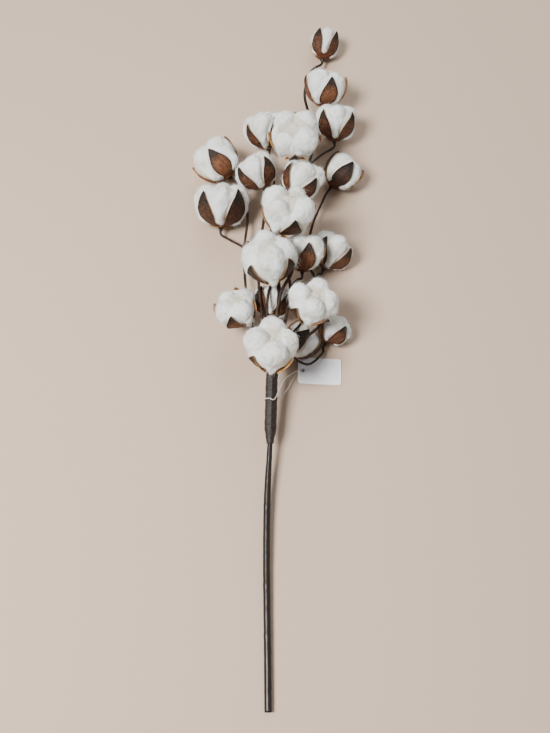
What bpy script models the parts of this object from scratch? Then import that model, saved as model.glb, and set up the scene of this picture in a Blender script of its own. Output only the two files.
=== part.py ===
"""Cotton stem bunch, lying on its side.

One tall main stem and seven branches, bound together by a tape wrap, carry
twenty open cotton bolls.  A blank swing tag hangs from the wrap on a nylon loop.

Frame: metres, +Z up, the floor at z = 0, the stem along Y with its cut end at
-Y and its tip at +Y, the origin under the middle of the whole bunch.
Tables of places and sizes are in millimetres and are turned to metres by MM.
"""
import math
from dataclasses import dataclass
from enum import Enum

import bmesh
import bpy
from mathutils import Matrix, Vector

MM = 0.001
GAP = 0.3                       # left between pieces that touch, mm

# ---------------------------------------------------------------- bolls
SHELL = 1.2                     # thickness of a husk, mm
UNDER_VALVE = 1.0               # room between a valve and the cotton under it, mm
EDGE_ROOM = 1.6                 # room between a valve's edge and the lock beside it, mm
FRONT = Vector((0.0, -0.4, 0.9)).normalized()   # rolls are counted from this side


class Opening(Enum):
    """How far a boll has opened: degrees from its base pole to its valves' tips."""
    HALF = 132.0
    OPEN = 116.0
    WIDE = 98.0


@dataclass
class Boll:
    """One boll: its middle, the way it points, its size and its valves."""
    centre: tuple               # mm
    heading: float              # degrees in plan, 90 is towards the tip
    rise: float                 # degrees above level
    radius: float               # to the outside of the cotton, mm
    opening: Opening
    roll: float = 0.0           # degrees from FRONT to the first valve
    valves: int = 4
    stretch: float = 1.0        # length along its axis against its width


BOLLS = {
    "01": Boll((61, 377, 17), 79, 15, 17.5, Opening.HALF, 48, 4, 1.2),
    "02": Boll((58, 291, 36), 83, 44, 25, Opening.OPEN, 12),
    "03": Boll((70, 243, 30), 84, 34, 23.5, Opening.OPEN, 45),
    "04": Boll((20, 188, 72), -90, 84, 28, Opening.WIDE, 0),
    "05": Boll((-13, 230, 32), 102, 39, 24, Opening.OPEN, 30),
    "06": Boll((-70, 191, 24.8), 134, 23, 27.5, Opening.OPEN, 0),
    "07": Boll((-23, 165, 40), 120, 36, 23.5, Opening.OPEN, 35),
    "08": Boll((28, 145, 52), 52, 40, 22.5, Opening.OPEN, 40),
    "09": Boll((76, 178, 20.4), 48, 26, 22.5, Opening.HALF, 10),
    "10": Boll((-62, 129, 28.2), 88, 34, 29.5, Opening.OPEN, 45),
    "11": Boll((11, 80, 86), 73, 63, 28, Opening.WIDE, 20),
    "12": Boll((-8, 28, 76), 113, 73, 28, Opening.OPEN, 45),
    "13": Boll((29, 55, 46), 84, 34, 22.5, Opening.OPEN, 8),
    "14": Boll((61, 72, 19.9), 61, 30, 22, Opening.OPEN, 55),
    "15": Boll((-42, -12, 43), 132, 71, 22, Opening.OPEN, -20),
    "16": Boll((-5, 4, 28), 80, 12, 19.5, Opening.OPEN, 45),
    "17": Boll((36, -18, 66), 38, 64, 24, Opening.WIDE, -30),
    "18": Boll((25, -38, 19.5), 40, 24, 20.5, Opening.HALF, -10),
    "19": Boll((-5, -68, 70), 67, 73, 26.5, Opening.WIDE, -35),
    "20": Boll((61, -22, 17.2), 55, 30, 18, Opening.OPEN, 30),
}

# rows of a valve from the base to its tip: (part of the tip angle, part of the
# full width a valve may take, husk's radius, lock's radius beside the valve)
VALVE_ROWS = (
    (0.00, 1.00, 0.84, 0.84),
    (0.22, 1.00, 0.87, 0.87),
    (0.45, 0.74, 0.89, 0.99),
    (0.66, 0.64, 0.91, 1.05),
    (0.85, 0.40, 0.93, 1.05),
    (1.00, 0.00, 0.95, 1.03),
)
CUP_EDGE = 0.93                 # where cotton in the cup starts to bend, part of a valve
CROWN_RADIUS = 0.98             # cotton between the valves' tips and the top
CROWN_GROOVE = 0.90
TOP_RADIUS = 0.86

# ---------------------------------------------------------------- stems
STEM_RADIUS = 3.5              # bare glossy lower stem, mm
STEM_IN_WRAP = 2.4
NECK_RUN = 60.0                 # over which the bare stem slims towards the wrap
STEM_TIP = 1.5
BRANCH_IN_WRAP = 1.2
BRANCH_RADIUS = 1.7
SWELL_RUN = 16.0                # over which a branch thickens once it leaves the wrap
BRANCH_TIP = 1.3
TWIG_RADIUS = 1.25
RING = 4.05                     # from the stem's middle to a bound branch's middle
BOUND_PARTS = (0.34, 0.67, 1.0, 1.1)   # where a branch is straight, in wrap lengths
LEAD = 8.0                      # straight run of a twig before its boll
STEP = 15.0                     # between points along a stem

WRAP_BOTTOM = Vector((-7.0, -150.0, 18.0))
WRAP_TOP = Vector((-5.0, -80.0, 30.0))
WRAP_BORE = 5.6
WRAP_RADIUS = 6.2
WRAP_NECK = 2.95                # bore where the tape closes on the bare stem
WRAP_NECK_RADIUS = 4.0
WRAP_TAPER = 16.0

CUT_END = (-8, -396, STEM_RADIUS)
LOWER_STEM = [CUT_END, (-9, -330, 4.4), (-10, -265, 6.2), (-9.6, -205, 10.2)]


@dataclass
class Branch:
    """A branch: its place in the bound ring, its route, and what it carries."""
    ring_angle: float           # degrees round the stem, 0 to the right, 90 up
    route: list                 # free points after the wrap, mm
    tip: str                    # the boll at its end
    twigs: dict                 # boll: (index of the route point it leaves, via)


MAIN_ROUTE = [(-4, -46, 36), (2, -8, 49), (1, 18, 50), (-4, 50, 44), (-6, 84, 39),
              (4, 118, 30), (20, 150, 22), (36, 185, 23), (44, 225, 25),
              (38, 262, 23), (34, 296, 20), (43, 335, 15)]
MAIN_TWIGS = {
    "03": (7, [(54, 208, 15)]),
    "02": (8, [(49, 258, 15)]),
}
BRANCHES = {
    "branch_1": Branch(244, [(-16, -56, 25), (-27, -20, 20), (-34, 30, 16), (-36, 80, 14),
                             (-33, 120, 13), (-38, 152, 12)],
                       "06", {"15": (1, [(-33, -19, 20)]), "10": (3, [(-54, 94, 9)])}),
    "branch_2": Branch(193, [(-12, -52, 36), (-15, -24, 41), (-19, 14, 47), (-20, 50, 40),
                             (-16, 90, 34), (-10, 130, 24), (-3, 165, 16), (-6, 195, 13)],
                       "05", {"16": (0, [(-11, -34, 26)]), "07": (4, [(-13, 132, 21)])}),
    "branch_3": Branch(90, [(-3, -40, 43), (4, -2, 57), (16, 28, 56), (2, 56, 54),
                            (0, 84, 52), (8, 120, 46), (6, 152, 42), (14, 180, 34)],
                       "04", {"11": (3, [(4, 62, 59)])}),
    "branch_4": Branch(347, [(12, -62, 35), (30, -46, 44), (46, -28, 41), (54, 0, 36),
                             (42, 36, 22), (33, 66, 12), (40, 110, 11), (54, 148, 10)],
                       "09", {"20": (0, [(32, -66, 22), (48, -48, 10)]),
                              "14": (4, [(46, 48, 11)])}),
    "branch_5": Branch(39, [(4, -50, 43), (10, -20, 47), (14, 12, 44), (8, 44, 38),
                            (4, 70, 35), (11, 105, 36)],
                       "08", {"13": (2, [(22, 28, 33)])}),
    "branch_6": Branch(141, [(-9, -70, 37), (-10, -30, 46), (-9, 0, 52)],
                       "12", {"19": (0, [(-8, -73, 42)])}),
    "branch_7": Branch(296, [(3, -60, 29), (13, -45, 42)],
                       "17", {"18": (0, [(5, -55, 20)])}),
}

# ---------------------------------------------------------------- tag
TAG_LENGTH = 46.0
TAG_WIDTH = 30.0
TAG_THICKNESS = 0.5
TAG_CORNER = 3.0
TAG_HOLE_RADIUS = 2.0
TAG_HOLE_INSET = 5.0            # from the tag's end to the hole's middle
TAG_CENTRE = (45.0, -65.0, 1.9)
TAG_TILT = 4.0                  # degrees, the end with the hole is up
TAG_TURN = -1.5
LOOP_RADIUS = 0.5
LOOP_PLACE = 0.62               # how far up the wrap the loop sits, 0 to 1
LOOP_ROOM = 0.9                 # between the loop and the wrap, mm


# ---------------------------------------------------------------- helpers
def clear_scene():
    """Removes the objects that the file opened with."""
    for old in list(bpy.data.objects):
        bpy.data.objects.remove(old, do_unlink=True)


def finish(name, colour, roughness, metallic=0.0):
    """Makes a Principled material from a colour in 0 to 1, sRGB."""
    linear = [((c + 0.055) / 1.055) ** 2.4 if c > 0.04 else c / 12.92 for c in colour]
    material = bpy.data.materials.new(name)
    material.use_nodes = True
    shader = material.node_tree.nodes["Principled BSDF"]
    shader.inputs["Base Color"].default_value = (*linear, 1.0)
    shader.inputs["Roughness"].default_value = roughness
    shader.inputs["Metallic"].default_value = metallic
    material.diffuse_color = (*linear, 1.0)
    return material


def add_object(name, mesh, collection, parent, material):
    """Puts a mesh in the collection as a named object with its own material."""
    piece = bpy.data.objects.new(name, mesh)
    collection.objects.link(piece)
    piece.parent = parent
    mesh.materials.clear()
    mesh.materials.append(material)
    return piece


def evaluated_mesh(piece):
    """A new mesh of an object as its modifiers or its bevel leave it."""
    graph = bpy.context.evaluated_depsgraph_get()
    return bpy.data.meshes.new_from_object(piece.evaluated_get(graph))


def smooth_route(points, step=STEP):
    """Points about a step apart on a Catmull-Rom curve through the given points."""
    knots = [Vector(p) for p in points]
    knots = [2 * knots[0] - knots[1]] + knots + [2 * knots[-1] - knots[-2]]
    route = []
    for i in range(1, len(knots) - 2):
        a, b, c, d = knots[i - 1:i + 3]
        count = max(1, round((c - b).length / step))
        for k in range(count):
            t = k / count
            route.append(0.5 * (2 * b + (c - a) * t + (2 * a - 5 * b + 4 * c - d) * t ** 2
                                + (3 * b - a - 3 * c + d) * t ** 3))
    route.append(knots[-2])
    return route


def lengths_along(route):
    """The distance from the start to each point of a route."""
    total = [0.0]
    for a, b in zip(route, route[1:]):
        total.append(total[-1] + (b - a).length)
    return total


def tube_mesh(route, radii, resolution=1, closed=False):
    """A closed tube along a route, in mm, as a welded mesh in metres."""
    curve = bpy.data.curves.new("route", "CURVE")
    curve.dimensions = "3D"
    curve.bevel_depth = MM
    curve.bevel_resolution = resolution
    curve.use_fill_caps = not closed
    spline = curve.splines.new("POLY")
    spline.points.add(len(route) - 1)
    spline.use_cyclic_u = closed
    for point, place, radius in zip(spline.points, route, radii):
        point.co = (*(Vector(place) * MM), 1.0)
        point.radius = radius
    guide = bpy.data.objects.new("route", curve)
    bpy.context.scene.collection.objects.link(guide)
    bpy.context.view_layer.update()
    mesh = evaluated_mesh(guide)
    mesh.transform(guide.matrix_world)
    bpy.data.objects.remove(guide, do_unlink=True)
    shape = bmesh.new()
    shape.from_mesh(mesh)
    bmesh.ops.remove_doubles(shape, verts=shape.verts, dist=0.02 * MM)
    bmesh.ops.recalc_face_normals(shape, faces=shape.faces)
    shape.to_mesh(mesh)
    shape.free()
    return mesh


def joined_mesh(body, others):
    """One mesh of a body and the twigs that grow from it."""
    scene = bpy.context.scene.collection
    base = bpy.data.objects.new("body", body)
    scene.objects.link(base)
    helpers = []
    for mesh in others:
        helper = bpy.data.objects.new("twig", mesh)
        scene.objects.link(helper)
        helpers.append(helper)
        union = base.modifiers.new("union", "BOOLEAN")
        union.operation = "UNION"
        union.object = helper
    bpy.context.view_layer.update()
    mesh = evaluated_mesh(base)
    for helper in helpers + [base]:
        bpy.data.objects.remove(helper, do_unlink=True)
    return mesh


def shade(mesh, angle=40.0):
    """Shades a mesh smooth, with creases sharper than the angle left sharp."""
    mesh.shade_smooth()
    mesh.set_sharp_from_angle(angle=math.radians(angle))


# ---------------------------------------------------------------- bolls
def boll_axis(boll):
    """The way a boll points, from its heading and rise."""
    heading, rise = math.radians(boll.heading), math.radians(boll.rise)
    return Vector((math.cos(rise) * math.cos(heading),
                   math.cos(rise) * math.sin(heading), math.sin(rise)))


def boll_matrix(boll):
    """A boll's place: +Z along its axis, +X on its first valve, in metres."""
    axis = boll_axis(boll)
    front = (FRONT - axis * FRONT.dot(axis)).normalized()
    first = Matrix.Rotation(math.radians(boll.roll), 3, axis) @ front
    turn = Matrix((first, axis.cross(first), axis)).transposed()
    return Matrix.Translation(Vector(boll.centre) * MM) @ turn.to_4x4()


def on_boll(boll, from_base, around, radius):
    """A point at an angle from the base pole and round the axis, in metres."""
    across = math.sin(from_base) * radius
    return Vector((across * math.cos(around), across * math.sin(around),
                   -math.cos(from_base) * radius * boll.stretch)) * MM


def base_point(boll):
    """Where the twig meets the underside of the husk, in mm."""
    depth = VALVE_ROWS[0][2] * boll.radius * boll.stretch + SHELL + GAP
    return Vector(boll.centre) - boll_axis(boll) * depth


def husk_mesh(boll):
    """The husk: a cup at the base that parts into pointed valves."""
    pitch = 2 * math.pi / boll.valves
    tip = math.radians(boll.opening.value)
    last_row = len(VALVE_ROWS) - 1
    shape = bmesh.new()
    for valve in range(boll.valves):
        made = bmesh.ops.create_grid(shape, x_segments=2, y_segments=last_row, size=1.0)
        for corner in made["verts"]:
            row = round((corner.co.y + 1.0) / 2.0 * last_row)
            part, width, husk_radius, _ = VALVE_ROWS[row]
            around = valve * pitch + corner.co.x * width * pitch / 2
            corner.co = on_boll(boll, part * tip, around, husk_radius * boll.radius)
    bmesh.ops.remove_doubles(shape, verts=shape.verts, dist=0.02 * MM)
    bmesh.ops.recalc_face_normals(shape, faces=shape.faces)
    lowest = min(shape.faces, key=lambda face: face.calc_center_median().z)
    if lowest.normal.z > 0:
        bmesh.ops.reverse_faces(shape, faces=shape.faces)
    mesh = bpy.data.meshes.new("husk")
    shape.to_mesh(mesh)
    shape.free()
    return mesh


def ring_width(boll, row):
    """Half the angle round the axis that the valve fills on a ring."""
    part, width, husk_radius, _ = VALVE_ROWS[row]
    across = husk_radius * boll.radius * math.sin(math.radians(boll.opening.value) * part)
    return width * math.pi / boll.valves + EDGE_ROOM / across


def cotton_mesh(boll):
    """The cotton: locks that swell between grooves where the valves lie."""
    pitch = 2 * math.pi / boll.valves
    columns = 6 * boll.valves
    rings = len(VALVE_ROWS)             # one ring for each row but the first, and the crown
    tip = math.radians(boll.opening.value)
    shape = bmesh.new()
    bmesh.ops.create_uvsphere(shape, u_segments=columns, v_segments=rings + 1, radius=1.0)
    for corner in shape.verts:
        x, y, z = corner.co
        ring = round(math.acos(max(-1.0, min(1.0, -z))) / math.pi * (rings + 1))
        if ring == 0:
            radius = VALVE_ROWS[0][2] * boll.radius - UNDER_VALVE
            corner.co = on_boll(boll, 0.0, 0.0, radius)
            continue
        if ring == rings + 1:
            corner.co = on_boll(boll, math.pi, 0.0, TOP_RADIUS * boll.radius)
            continue
        column = round(math.atan2(y, x) / (2 * math.pi) * columns) % columns
        valve, place = divmod(column, 6)
        if ring == rings:
            from_base = (tip + math.pi) / 2
            groove, lock = CROWN_GROOVE * boll.radius, CROWN_RADIUS * boll.radius
            edge = pitch / 6
        else:
            part, _, husk_radius, lock_radius = VALVE_ROWS[ring]
            from_base = part * tip
            groove = husk_radius * boll.radius - UNDER_VALVE
            lock = lock_radius * boll.radius
            edge = ring_width(boll, ring)
        if edge >= pitch / 2:
            edge, lock = CUP_EDGE * pitch / 2, groove
        flank = edge + 0.34 * (pitch / 2 - edge)
        around = (0, edge, flank, pitch / 2, pitch - flank, pitch - edge)[place]
        radius = groove + (lock - groove) * (0, 0, 0.75, 1, 0.75, 0)[place]
        corner.co = on_boll(boll, from_base, valve * pitch + around, radius)
    bmesh.ops.recalc_face_normals(shape, faces=shape.faces)
    mesh = bpy.data.meshes.new("cotton")
    shape.to_mesh(mesh)
    shape.free()
    return mesh


def lowest_point(piece):
    """How low an evaluated object reaches, in mm."""
    graph = bpy.context.evaluated_depsgraph_get()
    done = piece.evaluated_get(graph).data
    return min((piece.matrix_world @ v.co).z for v in done.vertices) / MM


def rest_on_floor(piece, slab):
    """Flattens a piece that would sink into the floor."""
    if lowest_point(piece) < 0:
        flat = piece.modifiers.new("flat", "BOOLEAN")
        flat.operation = "DIFFERENCE"
        flat.object = slab


def build_bolls(collection, parent, husk_finish, cotton_finish, slab):
    """Builds every husk and the cotton that it holds."""
    for number, boll in BOLLS.items():
        husk = add_object("husk_" + number, husk_mesh(boll), collection, parent, husk_finish)
        thick = husk.modifiers.new("shell", "SOLIDIFY")
        thick.thickness = SHELL * MM
        thick.offset = 1.0
        cotton = add_object("cotton_" + number, cotton_mesh(boll), collection, parent,
                            cotton_finish)
        for piece in (husk, cotton):
            piece.matrix_world = boll_matrix(boll)
            shade(piece.data, 60.0)
        bpy.context.view_layer.update()
        for piece in (husk, cotton):
            rest_on_floor(piece, slab)


def floor_slab(cutters):
    """The block under the floor that flattens what rests on it."""
    bpy.ops.mesh.primitive_cube_add(size=1.0)
    slab = bpy.context.active_object
    slab.name = "floor_slab"
    slab.data.transform(Matrix.Diagonal((1.2, 1.2, 0.1, 1.0)))
    slab.location = (0.0, 0.0, -0.05)
    for home in list(slab.users_collection):
        home.objects.unlink(slab)
    cutters.objects.link(slab)
    slab.hide_render = True
    slab.display_type = "WIRE"
    return slab


# ---------------------------------------------------------------- stems
def wrap_axes():
    """The wrap's direction, and the sides to the right of it and above it."""
    along = (WRAP_TOP - WRAP_BOTTOM).normalized()
    right = along.cross(Vector((0, 0, 1))).normalized()
    return along, right, right.cross(along)


def twig_mesh(start, via, number):
    """A twig from a point on its branch to the base of its boll."""
    boll = BOLLS[number]
    end = base_point(boll)
    lead = end - boll_axis(boll) * LEAD
    route = smooth_route([start] + via + [lead, end], STEP / 2)
    return tube_mesh(route, [TWIG_RADIUS] * len(route))


def to_boll(route, number):
    """A route that is carried on, straight, into the base of a boll."""
    boll = BOLLS[number]
    end = base_point(boll)
    return route + [end - boll_axis(boll) * LEAD, end]


def main_stem_mesh():
    """The main stem: bare below, slim in the wrap, tapering to the tip boll."""
    middle = (WRAP_BOTTOM + WRAP_TOP) / 2
    bound = [WRAP_BOTTOM, middle, WRAP_TOP]
    route = smooth_route(LOWER_STEM + bound + to_boll(MAIN_ROUTE, "01"))
    in_neck = WRAP_NECK - GAP
    radii = []
    for place in route:
        if place.y < WRAP_BOTTOM.y:
            near = min(1.0, (WRAP_BOTTOM.y - place.y) / NECK_RUN)
            radii.append(in_neck + (STEM_RADIUS - in_neck) * near)
        elif place.y < WRAP_TOP.y:
            near = 3 * (place.y - WRAP_BOTTOM.y) / (WRAP_TOP.y - WRAP_BOTTOM.y)
            radii.append(in_neck - (in_neck - STEM_IN_WRAP) * min(1.0, near))
        else:
            near = (place.y - WRAP_TOP.y) / (route[-1].y - WRAP_TOP.y)
            radii.append(STEM_IN_WRAP - (STEM_IN_WRAP - STEM_TIP) * near)
    twigs = [twig_mesh(Vector(MAIN_ROUTE[leaf]), via, number)
             for number, (leaf, via) in MAIN_TWIGS.items()]
    return joined_mesh(tube_mesh(route, radii, resolution=2), twigs)


def branch_mesh(branch):
    """A branch: thin where it is bound in, then free to its bolls."""
    along, right, above = wrap_axes()
    angle = math.radians(branch.ring_angle)
    aside = (right * math.cos(angle) + above * math.sin(angle)) * RING
    length = (WRAP_TOP - WRAP_BOTTOM).length
    bound = [WRAP_BOTTOM + along * (length * part) + aside for part in BOUND_PARTS]
    route = smooth_route(bound + to_boll(branch.route, branch.tip))
    travelled = lengths_along(route)
    held = (bound[-2] - bound[0]).length
    radii = []
    for distance in travelled:
        beyond = max(0.0, distance - held)
        grown = min(1.0, beyond / SWELL_RUN)
        full = BRANCH_RADIUS - (BRANCH_RADIUS - BRANCH_TIP) * beyond / (travelled[-1] - held)
        radii.append(BRANCH_IN_WRAP + (full - BRANCH_IN_WRAP) * grown)
    twigs = [twig_mesh(Vector(branch.route[leaf]), via, number)
             for number, (leaf, via) in branch.twigs.items()]
    return joined_mesh(tube_mesh(route, radii), twigs)


def build_stems(collection, parent, stem_finish, branch_finish):
    """Builds the main stem and the branches."""
    stem = add_object("main_stem", main_stem_mesh(), collection, parent, stem_finish)
    shade(stem.data)
    for name, branch in BRANCHES.items():
        piece = add_object(name, branch_mesh(branch), collection, parent, branch_finish)
        shade(piece.data)


def build_wrap(collection, parent, wrap_finish):
    """The tape wrap: a sleeve that tapers onto the bare stem at its lower end."""
    length = (WRAP_TOP - WRAP_BOTTOM).length
    profile = [(WRAP_RADIUS, length), (WRAP_RADIUS, WRAP_TAPER), (WRAP_NECK_RADIUS, 0.0),
               (WRAP_NECK, 0.0), (WRAP_BORE, WRAP_TAPER), (WRAP_BORE, length)]
    shape = bmesh.new()
    corners = [shape.verts.new((radius * MM, 0.0, height * MM)) for radius, height in profile]
    for a, b in zip(corners, corners[1:] + corners[:1]):
        shape.edges.new((a, b))
    mesh = bpy.data.meshes.new("stem_wrap")
    shape.to_mesh(mesh)
    shape.free()
    wrap = add_object("stem_wrap", mesh, collection, parent, wrap_finish)
    turned = wrap.modifiers.new("turned", "SCREW")
    turned.steps = turned.render_steps = 16
    turned.use_merge_vertices = True
    turned.merge_threshold = 0.01 * MM
    turned.use_normal_calculate = True
    along, right, above = wrap_axes()
    turn = Matrix((right, along.cross(right), along)).transposed()
    wrap.matrix_world = Matrix.Translation(WRAP_BOTTOM * MM) @ turn.to_4x4()


# ---------------------------------------------------------------- tag
def tag_matrix():
    """The tag's place: level to a few degrees, its holed end raised."""
    turn = Matrix.Rotation(math.radians(TAG_TURN), 4, "Z")
    tilt = Matrix.Rotation(math.radians(TAG_TILT), 4, "Y")
    return Matrix.Translation(Vector(TAG_CENTRE) * MM) @ turn @ tilt


def hole_centre():
    """The middle of the tag's hole in its own frame, mm."""
    return Vector((TAG_HOLE_INSET - TAG_LENGTH / 2, 0.0, 0.0))


def build_tag(collection, parent, tag_finish):
    """A blank card with rounded corners and one hole."""
    outline = []
    for corner, (sx, sy) in enumerate(((1, 1), (-1, 1), (-1, -1), (1, -1))):
        middle = Vector((sx * (TAG_LENGTH / 2 - TAG_CORNER), sy * (TAG_WIDTH / 2 - TAG_CORNER)))
        for step in range(4):
            angle = math.radians(90 * corner + 30 * step)
            outline.append(middle + TAG_CORNER * Vector((math.cos(angle), math.sin(angle))))
    hole = [hole_centre().xy + TAG_HOLE_RADIUS * Vector((math.cos(a), math.sin(a)))
            for a in (2 * math.pi * k / 12 for k in range(12))]
    curve = bpy.data.curves.new("tag", "CURVE")
    curve.dimensions = "2D"
    curve.fill_mode = "BOTH"
    curve.extrude = TAG_THICKNESS / 2 * MM
    for ring in (outline, hole):
        spline = curve.splines.new("POLY")
        spline.points.add(len(ring) - 1)
        spline.use_cyclic_u = True
        for point, place in zip(spline.points, ring):
            point.co = (place.x * MM, place.y * MM, 0.0, 1.0)
    guide = bpy.data.objects.new("tag", curve)
    bpy.context.scene.collection.objects.link(guide)
    bpy.context.view_layer.update()
    mesh = evaluated_mesh(guide)
    bpy.data.objects.remove(guide, do_unlink=True)
    shape = bmesh.new()
    shape.from_mesh(mesh)
    bmesh.ops.remove_doubles(shape, verts=shape.verts, dist=0.02 * MM)
    bmesh.ops.recalc_face_normals(shape, faces=shape.faces)
    shape.to_mesh(mesh)
    shape.free()
    tag = add_object("swing_tag", mesh, collection, parent, tag_finish)
    tag.matrix_world = tag_matrix()


def build_loop(collection, parent, loop_finish):
    """The nylon loop: round the wrap and down through the tag's hole."""
    along, right, above = wrap_axes()
    middle = WRAP_BOTTOM + (WRAP_TOP - WRAP_BOTTOM) * LOOP_PLACE
    reach = WRAP_RADIUS + LOOP_RADIUS + LOOP_ROOM
    round_wrap = [middle + reach * (right * math.cos(a) + above * math.sin(a))
                  for a in (math.radians(60 + 40 * k) for k in range(6))]
    hole = tag_matrix() @ (hole_centre() * MM) / MM
    below = hole + Vector((-1.2, 0.0, -1.35))
    over = hole + Vector((-2.0, -0.5, 4.0))
    out = Vector((hole.x - 6.5, hole.y - 4.0, 1.1))
    points = round_wrap + [Vector((6.0, -95.0, 9.0)), out, below, hole, over,
                           Vector((8.0, -84.0, 25.0))]
    closed = smooth_route(points[-1:] + points + points[:1], 4.0)
    first = min(range(len(closed)), key=lambda k: (closed[k] - points[0]).length)
    last = max(k for k in range(len(closed)) if (closed[k] - points[0]).length < 1e-3)
    ring = closed[first:last] if last > first else closed[first:]
    mesh = tube_mesh(ring, [LOOP_RADIUS] * len(ring), closed=True)
    loop = add_object("tag_loop", mesh, collection, parent, loop_finish)
    shade(loop.data)


def main():
    """Builds the bunch."""
    clear_scene()
    scene = bpy.context.scene
    scene.unit_settings.system = "METRIC"
    collection = bpy.data.collections.new("cotton_stem_bunch")
    cutters = bpy.data.collections.new("cutters")
    scene.collection.children.link(collection)
    scene.collection.children.link(cutters)
    parent = bpy.data.objects.new("cotton_stem_bunch", None)
    collection.objects.link(parent)
    slab = floor_slab(cutters)
    build_stems(collection, parent, finish("glossy_stem", (0.13, 0.075, 0.05), 0.25),
                finish("branch_bark", (0.20, 0.13, 0.10), 0.55))
    build_wrap(collection, parent, finish("wrap_tape", (0.10, 0.065, 0.05), 0.6))
    build_bolls(collection, parent, finish("husk", (0.42, 0.27, 0.18), 0.6),
                finish("cotton", (0.88, 0.90, 0.88), 0.95), slab)
    build_tag(collection, parent, finish("tag_card", (0.85, 0.85, 0.86), 0.5))
    build_loop(collection, parent, finish("nylon", (0.80, 0.80, 0.78), 0.35))


main()
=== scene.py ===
"""Cotton stem bunch: the finished pieces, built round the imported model.

A main stem and seven branches, bound by a tape wrap, carry twenty cotton bolls.
Every shape is a surface worked out with numpy in millimetres, in the model's own
frame: the stem along Y, the tip at +Y, the floor at z = 0.
"""
import logging
import math
from dataclasses import dataclass, field
from enum import Enum
from typing import Any

import bpy
import numpy as np
from mathutils import Matrix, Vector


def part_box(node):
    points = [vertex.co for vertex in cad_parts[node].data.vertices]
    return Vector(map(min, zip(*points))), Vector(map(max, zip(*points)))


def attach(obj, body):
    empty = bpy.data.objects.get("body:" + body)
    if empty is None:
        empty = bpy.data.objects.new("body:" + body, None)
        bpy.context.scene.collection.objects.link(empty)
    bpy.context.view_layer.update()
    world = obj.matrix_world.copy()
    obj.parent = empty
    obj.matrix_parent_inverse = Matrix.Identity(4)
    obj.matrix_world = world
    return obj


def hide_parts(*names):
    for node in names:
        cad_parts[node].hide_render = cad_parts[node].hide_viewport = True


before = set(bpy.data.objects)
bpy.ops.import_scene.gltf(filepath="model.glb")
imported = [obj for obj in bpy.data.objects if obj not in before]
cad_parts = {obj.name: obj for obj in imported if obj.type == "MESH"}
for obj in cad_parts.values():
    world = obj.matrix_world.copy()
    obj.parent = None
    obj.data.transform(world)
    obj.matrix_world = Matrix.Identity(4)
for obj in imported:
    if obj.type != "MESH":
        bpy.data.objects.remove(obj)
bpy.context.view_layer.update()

MM = 0.001
BODY = "root"
TURN = 2.0 * math.pi
log = logging.getLogger("cotton_stem_bunch")

Array = np.ndarray
Triple = tuple[float, float, float]


# ------------------------------------------------------------------ small maths
def unit(vectors: Array) -> Array:
    """Each vector divided by its own length."""
    return vectors / np.maximum(np.linalg.norm(vectors, axis=-1, keepdims=True), 1e-12)


def ease(values: Array, low: float, high: float) -> Array:
    """A smooth step: 0 below low, 1 above high, and 3x^2 - 2x^3 between."""
    part = np.clip((values - low) / (high - low), 0.0, 1.0)
    return part * part * (3.0 - 2.0 * part)


def circle(sides: int) -> Array:
    """The angles of a ring's points, evenly stepped from 0."""
    return np.arange(sides) * TURN / sides


def around_axes(first: Array, second: Array, angle: Array) -> Array:
    """The direction first x cos + second x sin, for each angle."""
    return first * np.cos(angle)[..., None] + second * np.sin(angle)[..., None]


def turned_about(axis: Array, angle: float, vector: Array) -> Array:
    """A vector turned about a unit axis, by Rodrigues' formula."""
    return (vector * math.cos(angle) + np.cross(axis, vector) * math.sin(angle)
            + axis * float(axis @ vector) * (1.0 - math.cos(angle)))


def smooth_route(points: list, step: float, closed: bool = False) -> Array:
    """Points about a step apart on a Catmull-Rom curve through the given points.

    Args:
        points: the places that the curve passes through, in mm.
        step: the distance between the points given back, in mm.
        closed: whether the curve runs on from the last place to the first.

    Returns:
        The curve's points, one row each. Between two places b and c, with a before
        and d after, the curve is half of 2b + (c-a)t + (2a-5b+4c-d)t^2 + (3b-a-3c+d)t^3.
    """
    knots = np.array([np.asarray(p, float) for p in points])
    before, after = 2 * knots[0] - knots[1], [2 * knots[-1] - knots[-2]]
    if closed:
        before, after = knots[-1], knots[:2]
    knots = np.vstack([before, knots, after])
    runs = []
    for a, b, c, d in zip(knots, knots[1:], knots[2:], knots[3:]):
        count = max(1, round(float(np.linalg.norm(c - b)) / step))
        t = (np.arange(count) / count)[:, None]
        runs.append(0.5 * (2 * b + (c - a) * t + (2 * a - 5 * b + 4 * c - d) * t ** 2
                           + (3 * b - a - 3 * c + d) * t ** 3))
    return np.vstack(runs if closed else runs + [knots[-2]])


def travelled(route: Array) -> Array:
    """The distance from the start of a route to each of its points."""
    steps = np.linalg.norm(np.diff(route, axis=0), axis=1)
    return np.concatenate([[0.0], np.cumsum(steps)])


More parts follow.
